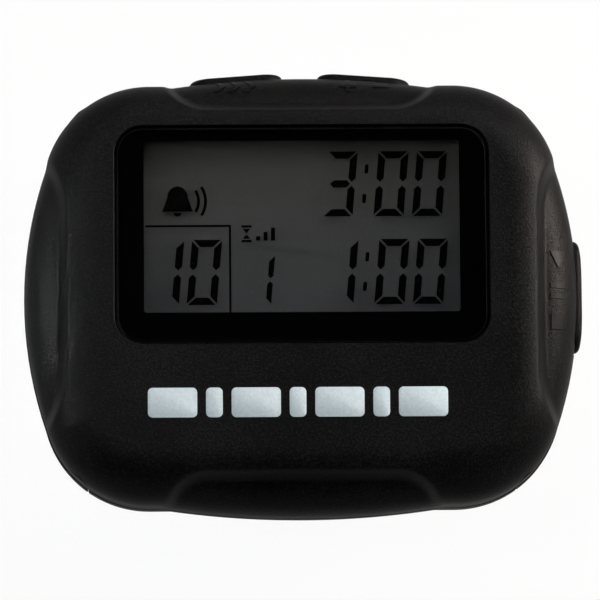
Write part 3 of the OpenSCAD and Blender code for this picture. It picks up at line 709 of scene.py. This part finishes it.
border_outer = rounded_outline(WINDOW_W, WINDOW_H, WINDOW_R, LENS_GAP + 0.05, WINDOW_AT)
border_inner = rounded_outline(VIEW_W, VIEW_H, 0.35, 0.0, VIEW_AT)
border_ring = ring_plate(border_outer, border_inner, PRINT_Z, PRINT_Z + PRINT_T)
border = make_piece("window_border", border_ring, border_black, "case")
border.visible_shadow = False

# %% [markdown]
# ## Mask on the panel
# Round its picture the panel has a black mask, so that the pale frame that holds it doesn't show when
# the timer is held at a slant. It is another thin ring, on the front glass, and reaches out as far as
# the frame.

# %% Panel mask
FRAME_LOW, FRAME_HIGH = corners("lcd_frame")
FRAME_W, FRAME_H = (FRAME_HIGH - FRAME_LOW)[:2]
FRAME_AT = tuple(((FRAME_HIGH + FRAME_LOW) / 2)[:2])
MASK_MORE = 0.5
mask_outer = rounded_outline(FRAME_W, FRAME_H, 0.3, 0.05, FRAME_AT)
mask_inner = rounded_outline(VIEW_W + MASK_MORE, VIEW_H + MASK_MORE, 0.3, 0.0, VIEW_AT)
mask_z = corners("lcd_front_glass")[1][2] + 0.005
mask_ring = ring_plate(mask_outer, mask_inner, mask_z, mask_z + PRINT_T)
make_piece("panel_mask", mask_ring, border_black, "case")

# %% [markdown]
# ## The readout
# A digit has seven segments. Each is a small bar with mitred ends, and the whole digit leans to the
# right. The shapes come from one function, so every digit on the panel has the same gaps. The readout
# shows a round of three minutes, a pause of one minute and the number of rounds, which any timer of
# this kind would show.

# %% Segments of a digit
LEAN = math.tan(math.radians(5.1))
HALF_DIGIT = 0.23
STROKE = 0.112
MITRE_GAP = 0.021
MIDDLE_GAP = 0.03
LIT = {"0": "abcdef", "1": "bc", "3": "abcdg"}


def flipped(points, x_sign, y_sign):
    return [(x_sign * x, y_sign * y) for x, y in points]


def digit_segments(height):
    """Outlines of the seven segments of a digit, about its centre, under their usual letters."""
    side = HALF_DIGIT * height
    end = height / 2
    thick = STROKE * height
    half = thick / 2
    inner = side - thick
    gap = MITRE_GAP * height
    waist = MIDDLE_GAP * height
    top = [(gap - side, end), (side - gap, end), (inner - gap, end - thick), (gap - inner, end - thick)]
    left = [(-side, end - gap), (-inner, end - thick - gap), (-inner, waist + half)]
    left += [(half - side, waist), (-side, waist + half)]
    middle = [(half + gap - side, 0), (gap - inner, half), (inner - gap, half)]
    middle += [(side - half - gap, 0), (inner - gap, -half), (gap - inner, -half)]
    segments = {"a": top, "b": flipped(left, -1, 1), "f": left, "g": middle}
    for upper, lower in ("ad", "bc", "fe"):
        segments[lower] = flipped(segments[upper], 1, -1)
    return segments


def leaned(points, centre):
    return [(centre[0] + x + y * LEAN, centre[1] + y) for x, y in points]


def digit(figure, centre, height):
    segments = digit_segments(height)
    return [leaned(segments[name], centre) for name in LIT[figure]]


# %% Layout of the readout
TALL = 7.55
SMALL = 5.8
UPPER_Y = 12.6
LOWER_Y = 2.4
UNITS_X = 14.78
TENS_X = 10.36
MINUTES_X = 4.5
COLON_X = 7.4
# Width, height and corner radius of a dot of the colon
COLON_DOT = (0.44, 1.08, 0.2)
COLON_STEP = 1.72
ROUNDS_UNITS_X = -11.15
ROUNDS_TENS_X = -15.5
LAP_AT = (-4.6, 1.5)
DIVIDER_X = -8.07
DIVIDER_Y = 7.9
LINE_T = 0.25
VIEW_LEFT = VIEW_AT[0] - VIEW_W / 2
VIEW_BOTTOM = VIEW_AT[1] - VIEW_H / 2


def box_outline(left, low, right, high):
    return [(left, low), (right, low), (right, high), (left, high)]


def colon(centre_y):
    dot = rounded_outline(*COLON_DOT, steps=4)
    return [leaned(dot + [0, sign * COLON_STEP], (COLON_X, centre_y)) for sign in (-1, 1)]


shapes = digit("3", (MINUTES_X, UPPER_Y), TALL) + digit("1", (MINUTES_X, LOWER_Y), TALL)
for row in (UPPER_Y, LOWER_Y):
    shapes += digit("0", (TENS_X, row), TALL) + digit("0", (UNITS_X, row), TALL) + colon(row)
shapes += digit("1", (ROUNDS_TENS_X, LOWER_Y), TALL) + digit("0", (ROUNDS_UNITS_X, LOWER_Y), TALL)
shapes += digit("1", LAP_AT, SMALL)
shapes.append(box_outline(VIEW_LEFT + 0.15, DIVIDER_Y - LINE_T, DIVIDER_X, DIVIDER_Y))
shapes.append(box_outline(DIVIDER_X - LINE_T, VIEW_BOTTOM - 0.3, DIVIDER_X, DIVIDER_Y - LINE_T))

# %% [markdown]
# ## Small signs on the panel
# Beside the figures the panel shows small signs: a bell for the alarm with two rings of sound, and a
# sand glass with three rising steps for the time that is left. They are drawn with a few points and
# arcs.

# %% Signs
BELL_AT = (-14.2, 10.65)
BELL_SIZE = 3.5
SOUND_AT = (BELL_AT[0] + 0.1, BELL_AT[1])
SOUND_T = 0.34
SOUND_OPEN = 32
GLASS_AT = (-6.3, 6.85)
GLASS_W = 1.15
GLASS_H = 1.7
STEPS_AT = (-5.2, 6.05)
STEP_W = 0.48
STEP_H = 0.5
STEP_PITCH = 0.85


def arc(centre, radius_x, radius_y, turns):
    return [(centre[0] + radius_x * math.cos(t), centre[1] + radius_y * math.sin(t)) for t in turns]


def arc_band(centre, radius, thick, half_angle, steps=10):
    turns = np.radians(np.linspace(-half_angle, half_angle, steps))
    far = radius + thick
    return arc(centre, far, far, turns) + arc(centre, radius, radius, turns[::-1])


def bell(centre, size):
    x, y = centre
    dome = arc((x, y + 0.12 * size), 0.34 * size, 0.38 * size, np.linspace(0, math.pi, 14))
    skirt = [(x - 0.5 * size, y - 0.34 * size), (x + 0.5 * size, y - 0.34 * size)]
    clapper = arc((x, y - 0.38 * size), 0.13 * size, 0.13 * size, np.linspace(0, -math.pi, 8))
    return [dome + skirt, clapper]


def sand_glass(centre, width, height):
    x, y = centre
    half = width / 2
    tall = height / 2
    thick = 0.16 * height
    ends = (y - tall, y + tall)
    parts = [box_outline(x - half, end - thick / 2, x + half, end + thick / 2) for end in ends]
    for sign in (-1, 1):
        wide_y = y + sign * (tall - thick)
        parts.append([(x - 0.75 * half, wide_y), (x + 0.75 * half, wide_y), (x, y + sign * 0.04)])
    return parts


shapes += bell(BELL_AT, BELL_SIZE)
shapes += [arc_band(SOUND_AT, radius, SOUND_T, SOUND_OPEN) for radius in (2.15, 2.95)]
shapes += sand_glass(GLASS_AT, GLASS_W, GLASS_H)
for k in range(3):
    left = STEPS_AT[0] + STEP_PITCH * k
    shapes.append(box_outline(left, STEPS_AT[1], left + STEP_W, STEPS_AT[1] + STEP_H * (k + 1)))

# %% Readout on the panel
SEGMENT_Z = corners("lcd_rear_glass")[1][2]
SEGMENT_T = 0.03


def prism(points, low, high):
    flat = np.array(points, float)
    return loft([at_height(flat, low), at_height(flat, high)])


segments = [prism(shape, SEGMENT_Z - SEGMENT_T / 2, SEGMENT_Z + SEGMENT_T / 2) for shape in shapes]
make_piece("panel_readout", merge(segments), dark_segment, "case")
print(len(shapes), "shapes on the panel")

# %% [markdown]
# ## Buttons
# A button is a moulded cap with a flange that keeps it in the case. Its outer face follows the bow of
# the side that it stands in, and its rim is rounded, so a finger doesn't feel an edge. Rings that
# shrink towards the middle keep the bowed face even.

# %% Button caps
BUTTON_PROUD = 0.65
CAP_ROLL = 0.6
FLANGE_LIP = 0.9
FLANGE_T = 1.1
STEM_L = 1.2
STEM_W = 2.4
STEM_SINK = 0.2


def bow_reach(across, half_length, radius):
    """Height of a button's outer face, which stands out of the case by an even amount."""
    return half_length - radius + np.sqrt((radius + BUTTON_PROUD) ** 2 - across**2)


def button_solid(node, length, centre_x, half_length, radius, turned, outward):
    """A cap with its flange and stem, turned to the side of the case that it stands in."""
    stem_start = corners(node)[0][outward]
    flange_low = stem_start + STEM_L

    def ring(inset, height=None, drop=0.0, shrink=1.0):
        flat = rounded_outline(length, BUTTON_H, BUTTON_R, inset) * shrink + [centre_x, 0]
        if height is None:
            z = bow_reach(flat[:, 0], half_length, radius) - drop
        else:
            z = np.full(len(flat), height)
        return np.column_stack([flat, z])

    rings = [ring(-FLANGE_LIP, flange_low), ring(-FLANGE_LIP, flange_low + FLANGE_T)]
    rings += [ring(0, flange_low + FLANGE_T), ring(0, drop=CAP_ROLL)]
    for turn in np.radians([15, 30, 45, 60, 75, 90]):
        rings.append(ring(CAP_ROLL * (1 - math.cos(turn)), drop=CAP_ROLL * (1 - math.sin(turn))))
    for shrink in (0.85, 0.65, 0.42, 0.2, 0.05):
        rings.append(ring(CAP_ROLL, shrink=shrink))
    stem_levels = [(0, stem_start), (0, flange_low + STEM_SINK)]
    stem = rounded_plate(STEM_W, STEM_W, STEM_W / 2, (centre_x, 0), stem_levels, steps=6)
    points, faces = merge([loft(rings), stem])
    return turned(points), faces


for body, side in (("next", -1), ("change", 1)):
    node = body + "_button"
    solid = button_solid(node, TOP_BUTTON_L, side * TOP_BUTTON_X, BODY_H / 2, END_R, to_top, 1)
    make_piece(body + "_cap", solid, button_rubber, body, [node])
solid = button_solid("start_button", START_BUTTON_L, 0.0, BODY_W / 2, SIDE_R, to_right, 0)
make_piece("start_cap", solid, button_rubber, "start", ["start_button"])

# %% [markdown]
# ## Raised signs beside the buttons
# Small signs next to each button say what it does: arrows for the next setting, plus and minus for a
# change, and a triangle, two bars and a square for start, pause and stop. They lie on a curved
# surface, so each sign is cut into small triangles whose points are set on the surface's height. A
# flat prism would sink in at one end.

# %% Signs that follow the case
SIGN_RAISE = 0.16
SIGN_SINK = 0.3
SIGN_SPLITS = 3


def on_case(shape):
    """A closed sign of even thickness on the front of the case."""
    patch = bmesh.new()
    patch.faces.new([patch.verts.new((x, y, 0)) for x, y in shape])
    patch.normal_update()
    bmesh.ops.triangulate(patch, faces=patch.faces[:])
    bmesh.ops.subdivide_edges(patch, edges=patch.edges[:], cuts=SIGN_SPLITS, use_grid_fill=True)
    patch.verts.index_update()
    places = np.array([vert.co[:2] for vert in patch.verts])
    base = front_height(*places.T)
    upper = np.column_stack([places, base + SIGN_RAISE])
    lower = np.column_stack([places, base - SIGN_SINK])
    return closed_sheet(patch, upper, lower)


def chevron(centre, size, thick):
    x, y = centre
    tip = 0.5 * size
    return [
        (x - tip, y + size), (x - tip + thick, y + size), (x + tip + thick, y),
        (x - tip + thick, y - size), (x - tip, y - size), (x + tip, y),
    ]


def bar(centre, width, height):
    x, y = centre
    return box_outline(x - width / 2, y - height / 2, x + width / 2, y + height / 2)


def plus(centre, size, thick):
    x, y = centre
    half = thick / 2
    right = [(-half, -size), (half, -size), (half, -half), (size, -half), (size, half), (half, half)]
    return [(x + across, y + up) for across, up in right + flipped(right, -1, -1)]


# %% Signs at the three buttons
SIGN_Y = 24.25
SIGN_X = 29.5
SIGN_T = 0.5
signs = [chevron((-TOP_BUTTON_X + k * 1.75 - 0.5, SIGN_Y), 0.85, SIGN_T + 0.1) for k in (-1, 0, 1)]
signs.append(plus((TOP_BUTTON_X - 1.9, SIGN_Y), 0.95, SIGN_T))
signs.append(bar((TOP_BUTTON_X + 1.9, SIGN_Y), 1.9, SIGN_T))
signs.append([(SIGN_X - 1.0, 4.6), (SIGN_X - 0.05, 2.7), (SIGN_X + 0.9, 4.6)])
signs += [bar((SIGN_X - 0.05, y), 1.9, 0.55) for y in (0.55, -0.65)]
signs.append(bar((SIGN_X - 0.05, -3.6), 1.8, 1.8))
sign_gloss = spark_plastic("polished_sign", 0.0034, 0.37, 0.3, 0.004)
make_piece("button_signs", merge([on_case(sign) for sign in signs]), sign_gloss, "case")

# %% [markdown]
# ## The print under the window
# A row of long and short bars under the window stands for rounds and pauses. They are printed in pale
# ink a few hundredths of a millimetre thick, and a fine noise makes the ink a little uneven.


# %% Printed bars
def ink_finish():
    sheet = Sheet("pale_ink")
    worn = sheet.noise(0.3, detail=4.0)
    tone = worn.ramp((0.3, (0.49, 0.6, 0.66, 1)), (0.7, (0.59, 0.7, 0.76, 1)))
    sheet.set(Base_Color=tone, Roughness=0.5 + 0.1 * worn)
    return sheet.material


BAR_Y = -13.1
BAR_H = 3.4
BAR_R = 0.55
BAR_GAP = 1.0
BAR_SHIFT = -0.6
LONG_BAR = 5.6
SHORT_BAR = 1.9
INK_T = 0.03
INK_SINK = 0.05
INK_EDGE = 0.01
bars = []
total = 4 * LONG_BAR + 3 * SHORT_BAR + 6 * BAR_GAP
left = BAR_SHIFT - total / 2
for k in range(7):
    width = SHORT_BAR if k % 2 else LONG_BAR
    levels = [(0, FACE_Z - INK_SINK), (0, FACE_Z + INK_T - INK_EDGE), (2 * INK_EDGE, FACE_Z + INK_T)]
    bars.append(rounded_plate(width, BAR_H, BAR_R, (left + width / 2, BAR_Y), levels, steps=6))
    left += width + BAR_GAP
make_piece("printed_bars", merge(bars), ink_finish(), "case")

# %% [markdown]
# ## Steel
# Screws, contacts and the clip's bracket are plated or blackened steel. A noise that is stretched
# along one direction gives the marks that drawing and rolling leave in a metal, and it wanders in the
# roughness too.


# %% Metal finishes
def metal_finish(name, colour, roughness, stretch=(1, 1, 14)):
    sheet = Sheet(name)
    mapped = sheet.start.node("ShaderNodeMapping", None, {"Vector": sheet.place, "Scale": stretch})
    marks = {"Vector": mapped, "Scale": 900.0, "Detail": 3.0}
    drawn = sheet.start.node("ShaderNodeTexNoise", None, marks)
    broad = sheet.noise(4.0)
    dark = tuple(c * 0.86 for c in colour) + (1,)
    sheet.set(Base_Color=broad.ramp((0.3, dark), (0.7, tuple(colour) + (1,))), Metallic=1.0)
    sheet.set(Roughness=roughness - 0.05 + 0.12 * drawn)
    sheet.dent(drawn, 0.01)
    return sheet.material


bright_steel = metal_finish("plated_steel", (0.62, 0.61, 0.58), 0.3)
dark_steel = metal_finish("black_oxide_steel", (0.07, 0.07, 0.075), 0.42)
motor_can = metal_finish("motor_can", (0.55, 0.55, 0.55), 0.25, (14, 1, 1))

# %% [markdown]
# ## The clip's spring
# A torsion spring closes the clip: a coil round the pin, one leg on the clip's thumb end and one
# against the back of the case. Its wire is a ring swept along a path, with more points per turn than
# the construction model has. On the timer, when the clip opens, the lower leg goes with it and the
# upper one stays, and the coil hardly changes, because a turn about the pin only moves its wire along
# itself. Here the spring is built in its closed pose only, fixed to no body.

# %% Torsion spring
WIRE_R = 0.3
WIRE_SIDES = 10
COIL_TURNS = 7.5
POINTS_PER_TURN = 28
LEG_POINTS = 12
COIL_CLEARANCE = 0.35
SPRING_LOW, SPRING_HIGH = corners("clip_spring")
PIN_LOW, PIN_HIGH = corners("clip_pin")
PIN_AT = (PIN_LOW + PIN_HIGH) / 2
COIL_R = (PIN_HIGH - PIN_LOW)[2] / 2 + COIL_CLEARANCE + WIRE_R


def swept_wire(path, radius):
    """A round wire along a path that never runs along the pin."""
    ahead = np.gradient(path, axis=0)
    ahead /= np.linalg.norm(ahead, axis=1)[:, None]
    outward = np.cross(ahead, (1.0, 0.0, 0.0))
    outward /= np.linalg.norm(outward, axis=1)[:, None]
    across = np.cross(outward, ahead)
    turns = np.linspace(0, 2 * math.pi, WIRE_SIDES, endpoint=False)
    rings = []
    for place, out_way, side_way in zip(path, outward, across):
        ring = np.outer(np.cos(turns), out_way) + np.outer(np.sin(turns), side_way)
        rings.append(place + radius * ring)
    return loft(rings)


def spring_path():
    """From the lower leg's end round the pin to the upper leg's end."""
    share = np.linspace(0, 1, int(COIL_TURNS * POINTS_PER_TURN) + 1)
    turns = -math.pi / 2 - 2 * math.pi * COIL_TURNS * share
    first_x = SPRING_LOW[0] + WIRE_R
    last_x = SPRING_HIGH[0] - WIRE_R
    x = first_x + (last_x - first_x) * share
    coil = np.column_stack([x, PIN_AT[1] + COIL_R * np.cos(turns), PIN_AT[2] + COIL_R * np.sin(turns)])
    lower_end = np.array((first_x, SPRING_HIGH[1], SPRING_LOW[2] + WIRE_R))
    upper_end = np.array((last_x, SPRING_HIGH[1], SPRING_HIGH[2] - WIRE_R))
    steps = np.linspace(0, 1, LEG_POINTS)[:-1, None]
    lower = lower_end + (coil[0] - lower_end) * steps
    upper = upper_end + (coil[-1] - upper_end) * steps
    return np.vstack([lower, coil, upper[::-1]])


clip_coil = make_piece(
    "clip_coil", swept_wire(spring_path(), WIRE_R), bright_steel, None, ["clip_spring"]
)
still_end = Vector(PIN_AT) * MM
turning_end = still_end - Vector((0, 0, 0.8 * COIL_R * MM))
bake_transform(clip_coil)

# %% [markdown]
# ## Lips beside the battery door
# A door that slides needs a gap at both sides, but one that lets light through at the edge of the
# case looks broken. The case has a narrow lip in each gap. It is the gap's own wall, copied from the
# construction mesh and pushed out towards the door, so it follows the curve of the back by itself and
# leaves only a fine seam.

# %% Door lips
SEAM = 0.1
WALL_SEARCH = 0.6
FLAT = 0.001
DOOR_HALF = corners("battery_door")[1][0]


def gap_wall(mesh, side):
    """The wall beside the door at one side, from the back's outer edge inwards, in millimetres."""
    wall = bmesh.new()
    wall.from_mesh(mesh)
    bmesh.ops.scale(wall, vec=(1 / MM, 1 / MM, 1 / MM), verts=wall.verts)
    bmesh.ops.remove_doubles(wall, verts=wall.verts, dist=FLAT)
    others = []
    for face in wall.faces:
        past = [side * vert.co.x - DOOR_HALF for vert in face.verts]
        if min(past) < FLAT or max(past) > WALL_SEARCH or max(past) - min(past) > FLAT:
            others.append(face)
    bmesh.ops.delete(wall, geom=others, context="FACES")
    island = [min(wall.faces, key=lambda face: face.calc_center_median().z)]
    for face in island:
        island += [other for edge in face.edges for other in edge.link_faces if other not in island]
    others = [face for face in wall.faces if face not in island]
    bmesh.ops.delete(wall, geom=others, context="FACES")
    return wall


def door_lip(mesh, side):
    wall = gap_wall(mesh, side)
    wall.verts.index_update()
    places = np.array([vert.co[:] for vert in wall.verts])
    gap = min(side * places[:, 0]) - DOOR_HALF
    print("gap beside the door", round(gap, 3), "mm")
    return closed_sheet(wall, places, places - [side * (gap - SEAM), 0, 0])


lips = merge([door_lip(nodes["rear_shell"].data, side) for side in (-1, 1)])
make_piece("door_lips", lips, case_plastic, "case")

# %% [markdown]
# ## Finishes for the rest
# The other parts keep their construction meshes, since they are plain shapes whose form is already
# right. The cell wears a printed sleeve with a bare metal cap, the board has tracks under a green
# lacquer, the elastomer strip has its fine stripes, and the small moulded parts differ in colour and
# shine.

# %% Sleeve of the cell
CAP_L = 1.6
BARE_L = 0.5
BAND_L = 14.0


def sleeve_finish():
    sheet = Sheet("cell_sleeve")
    across = sheet.axis(0) * (1 / MM)
    fine = sheet.noise(0.8)
    pale = (0.32, 0.33, 0.34, 1)
    blue = (0.05, 0.1, 0.19, 1)
    steel = (0.6, 0.6, 0.58, 1)
    low, high = corners("battery_cell")
    cap_end = across.above(high[0] - CAP_L)
    bare_end = 1 - across.above(low[0] + BARE_L)
    band = across.above(high[0] - BAND_L)
    metal = cap_end.math("MAXIMUM", cap_end, bare_end)
    sheet.set(Base_Color=metal.mix(band.mix(blue, pale), steel), Metallic=0.2 + 0.8 * metal)
    sheet.set(Roughness=0.24 + 0.08 * fine)
    return sheet.material


cell_sleeve = sleeve_finish()


# %% Board, strip and small parts
def board_finish():
    sheet = Sheet("board_lacquer")
    size = {"Vector": sheet.place, "Scale": 1 / (2.6 * MM), "Mortar Size": 0.09, "Mortar Smooth": 0.4}
    tracks = sheet.start.node("ShaderNodeTexBrick", {"offset": 0.35}, size, output=1)
    lacquer = tracks.mix((0.006, 0.05, 0.018, 1), (0.012, 0.1, 0.035, 1))
    sheet.set(Base_Color=lacquer, Roughness=0.3 + 0.1 * sheet.noise(0.5))
    sheet.dent(tracks, 0.03)
    return sheet.material


def strip_finish():
    sheet = Sheet("striped_elastomer")
    stripes = sheet.start.node("ShaderNodeTexWave", None, {"Vector": sheet.place, "Scale": 320.0})
    tint = stripes.ramp((0.45, (0.03, 0.03, 0.03, 1)), (0.55, (0.5, 0.3, 0.3, 1)))
    sheet.set(Base_Color=tint, Roughness=0.6 + 0.1 * sheet.noise(0.4))
    return sheet.material


def moulded_finish(name, colour, roughness, grain_mm=0.4):
    sheet = Sheet(name)
    fine = sheet.noise(grain_mm, detail=3.0)
    broad = sheet.noise(5.0)
    low = tuple(c * 0.85 for c in colour) + (1,)
    sheet.set(Base_Color=broad.ramp((0.3, low), (0.7, tuple(colour) + (1,))))
    sheet.set(Roughness=roughness + 0.08 * fine)
    sheet.dent(fine, 0.01)
    return sheet.material


finishes = {
    "rear_shell": case_plastic,
    "battery_door": case_plastic,
    "clip_lever": clip_plastic,
    "lcd_front_glass": glass_clear,
    "lcd_rear_glass": glass_clear,
    "lcd_reflector": panel_foil,
    "lcd_frame": moulded_finish("pale_frame", (0.5, 0.5, 0.47), 0.5),
    "zebra_connector": strip_finish(),
    "circuit_board": board_finish(),
    "controller_blob": moulded_finish("resin_drop", (0.008, 0.008, 0.008), 0.18, 1.5),
    "chip_capacitors": moulded_finish("fired_chip", (0.28, 0.18, 0.09), 0.45),
    "buzzer": moulded_finish("buzzer_case", (0.012, 0.012, 0.012), 0.4),
    "vibration_motor": motor_can,
    "tact_switches": moulded_finish("switch_case", (0.015, 0.015, 0.016), 0.45),
    "battery_cell": cell_sleeve,
    "case_screws": dark_steel,
}
plated = ("negative_spring", "negative_contact", "positive_contact", "quartz_crystal")
plated += ("board_screws", "clip_bracket", "clip_pin")
finishes.update(dict.fromkeys(plated, bright_steel))
ivory = moulded_finish("ivory_plunger", (0.62, 0.57, 0.44), 0.45)
finishes.update(dict.fromkeys(("next_plunger", "change_plunger", "start_plunger"), ivory))
for name, material in finishes.items():
    mesh = nodes[name].data
    mesh.materials.clear()
    mesh.materials.append(material)
print(len(finishes), "construction nodes dressed")

# %% [markdown]
# ## Floor
# A sheet of paper lies under the clip. To the eye it is white with a trace of the timer's shadow.
# Shiny things see grey paper with a weak glow near the timer, or the black sides would turn pale.
# Light Path tells these kinds of rays apart.

# %% Floor
FLOOR_SIZE = 3.0
FLOOR_WHITE = 0.95
FLOOR_GLOSS = 0.25
FLOOR_BOUNCE = 0.5
PAPER_REACH = 95 * MM
floor_mesh = bpy.data.meshes.new("floor")
half = FLOOR_SIZE / 2
floor_corners = [(-half, -half, 0), (half, -half, 0), (half, half, 0), (-half, half, 0)]
floor_mesh.from_pydata(floor_corners, [], [(0, 1, 2, 3)])
floor = bpy.data.objects.new("floor", floor_mesh)
bpy.context.scene.collection.objects.link(floor)
paper = Sheet("white_paper")


def ray_kinds(tree):
    """Sockets that are one for rays from the eye, through glass and off shiny things."""
    rays = tree.nodes.new("ShaderNodeLightPath")
    kinds = ("Is Camera Ray", "Is Transmission Ray", "Is Glossy Ray")
    return [Socket(tree, rays.outputs[kind]) for kind in kinds]


eye, through, gloss = ray_kinds(paper.tree)
paper.set(Base_Color=eye.mix(grey(FLOOR_BOUNCE), grey(FLOOR_WHITE)), Roughness=0.9)
seen = eye.math("MAXIMUM", eye, through) * FLOOR_WHITE
from_middle = eye.node("ShaderNodeVectorMath", {"operation": "LENGTH"}, {0: paper.place}, output=1)
sheet_edge = (from_middle * (1 / PAPER_REACH)).ramp((0.38, grey(1.0)), (1.0, grey(0.0)))
seen = eye.math("MAXIMUM", seen, gloss * sheet_edge * FLOOR_GLOSS)
white = paper.start.node("ShaderNodeEmission", None, {0: grey(1.0), 1: 1.0})
plain = Socket(paper.tree, paper.shader.outputs[0])
blend = paper.start.node("ShaderNodeMixShader", None, {0: seen, 1: plain, 2: white})
paper.tree.links.new(blend.socket, paper.output.inputs["Surface"])
floor_mesh.materials.append(paper.material)

# %% [markdown]
# ## Light
# A black object shows its form by soft edges of light and not by its colour. Three soft boxes light
# the timer from above: one high on the left, and one at each side of the top end. Three weak ones
# with a grid, which keeps their beam narrower, graze the left, right and top edges, so the sides grow
# lighter and the lower end stays dark. None of them stands where the flat window would mirror it to
# the camera, so the window stays black.

# %% Soft boxes
WARM = (1.0, 0.88, 0.8)
WIDE = (0.14, 0.14)
HIGH = 0.5
NEAR = 0.32


def soft_box(name, place, size, watts, target=aim, spread=180.0, tint=(1.0, 1.0, 1.0)):
    lamp = bpy.data.lights.new(name, "AREA")
    lamp.shape = "RECTANGLE"
    lamp.size, lamp.size_y = size
    lamp.energy = watts
    lamp.spread = math.radians(spread)
    lamp.color = tint
    box = bpy.data.objects.new(name, lamp)
    box.location = place
    box.rotation_euler = (Vector(target) - box.location).to_track_quat("-Z", "Y").to_euler()
    bpy.context.scene.collection.objects.link(box)


soft_box("left_overhead", aim + HIGH * Vector((-0.34, 0.16, 0.927)), WIDE, 0.43)
soft_box("left_key", aim + NEAR * Vector((-0.5, 0.5, 0.707)), WIDE, 0.1)
soft_box("right_key", aim + NEAR * Vector((0.5, 0.5, 0.707)), WIDE, 0.33)
soft_box("left_grid", Vector((-0.3, 0.02, 0.17)), (0.04, 0.012), 0.0036, (-0.04, 0.0, 0.018), 7.0)
soft_box("right_grid", Vector((0.2, 0.06, 0.07)), (0.05, 0.08), 0.04, (0.034, 0.012, 0.018), 40.0, WARM)
soft_box("top_grid", Vector((0.0, 0.32, 0.22)), (0.3, 0.1), 0.015, (0.0, 0.034, 0.018), 17.0, WARM)

# %% [markdown]
# ## Room
# What is left of the room is dim overhead. A brighter ring near the horizon lights the sides of the
# case and gives its rolled edges something to mirror. It is a little weaker beyond the top end. The
# eye sees plain white there.

# %% Room
MIRRORED_ROOM = 0.05
world = bpy.context.scene.world or bpy.data.worlds.new("room")
bpy.context.scene.world = world
world.use_nodes = True
backdrop = world.node_tree.nodes["Background"]
eye, through, gloss = ray_kinds(world.node_tree)
heading = eye.node("ShaderNodeTexCoord", output=0)
rise = eye.node("ShaderNodeSeparateXYZ", None, {0: heading}, output=2)
back = eye.node("ShaderNodeSeparateXYZ", None, {0: heading}, output=1)
height_glow = rise.ramp((0.0, grey(1.0)), (0.14, grey(0.8)), (0.3, grey(0.05)), (1.0, grey(0.003)))
side_glow = (back * 0.5 + 0.5).ramp((0.0, grey(1.0)), (0.55, grey(0.75)))
dim = height_glow.times_colour(side_glow)
near_floor = rise.ramp((0.02, grey(1.0)), (0.3, grey(0.0)))
mirrored = eye.math("MAXIMUM", through, gloss * MIRRORED_ROOM) * near_floor
seen = eye.math("MAXIMUM", eye, mirrored)
room = seen.mix(dim, grey(1.0))
world.node_tree.links.new(room.socket, backdrop.inputs["Color"])
backdrop.inputs["Strength"].default_value = 1.0
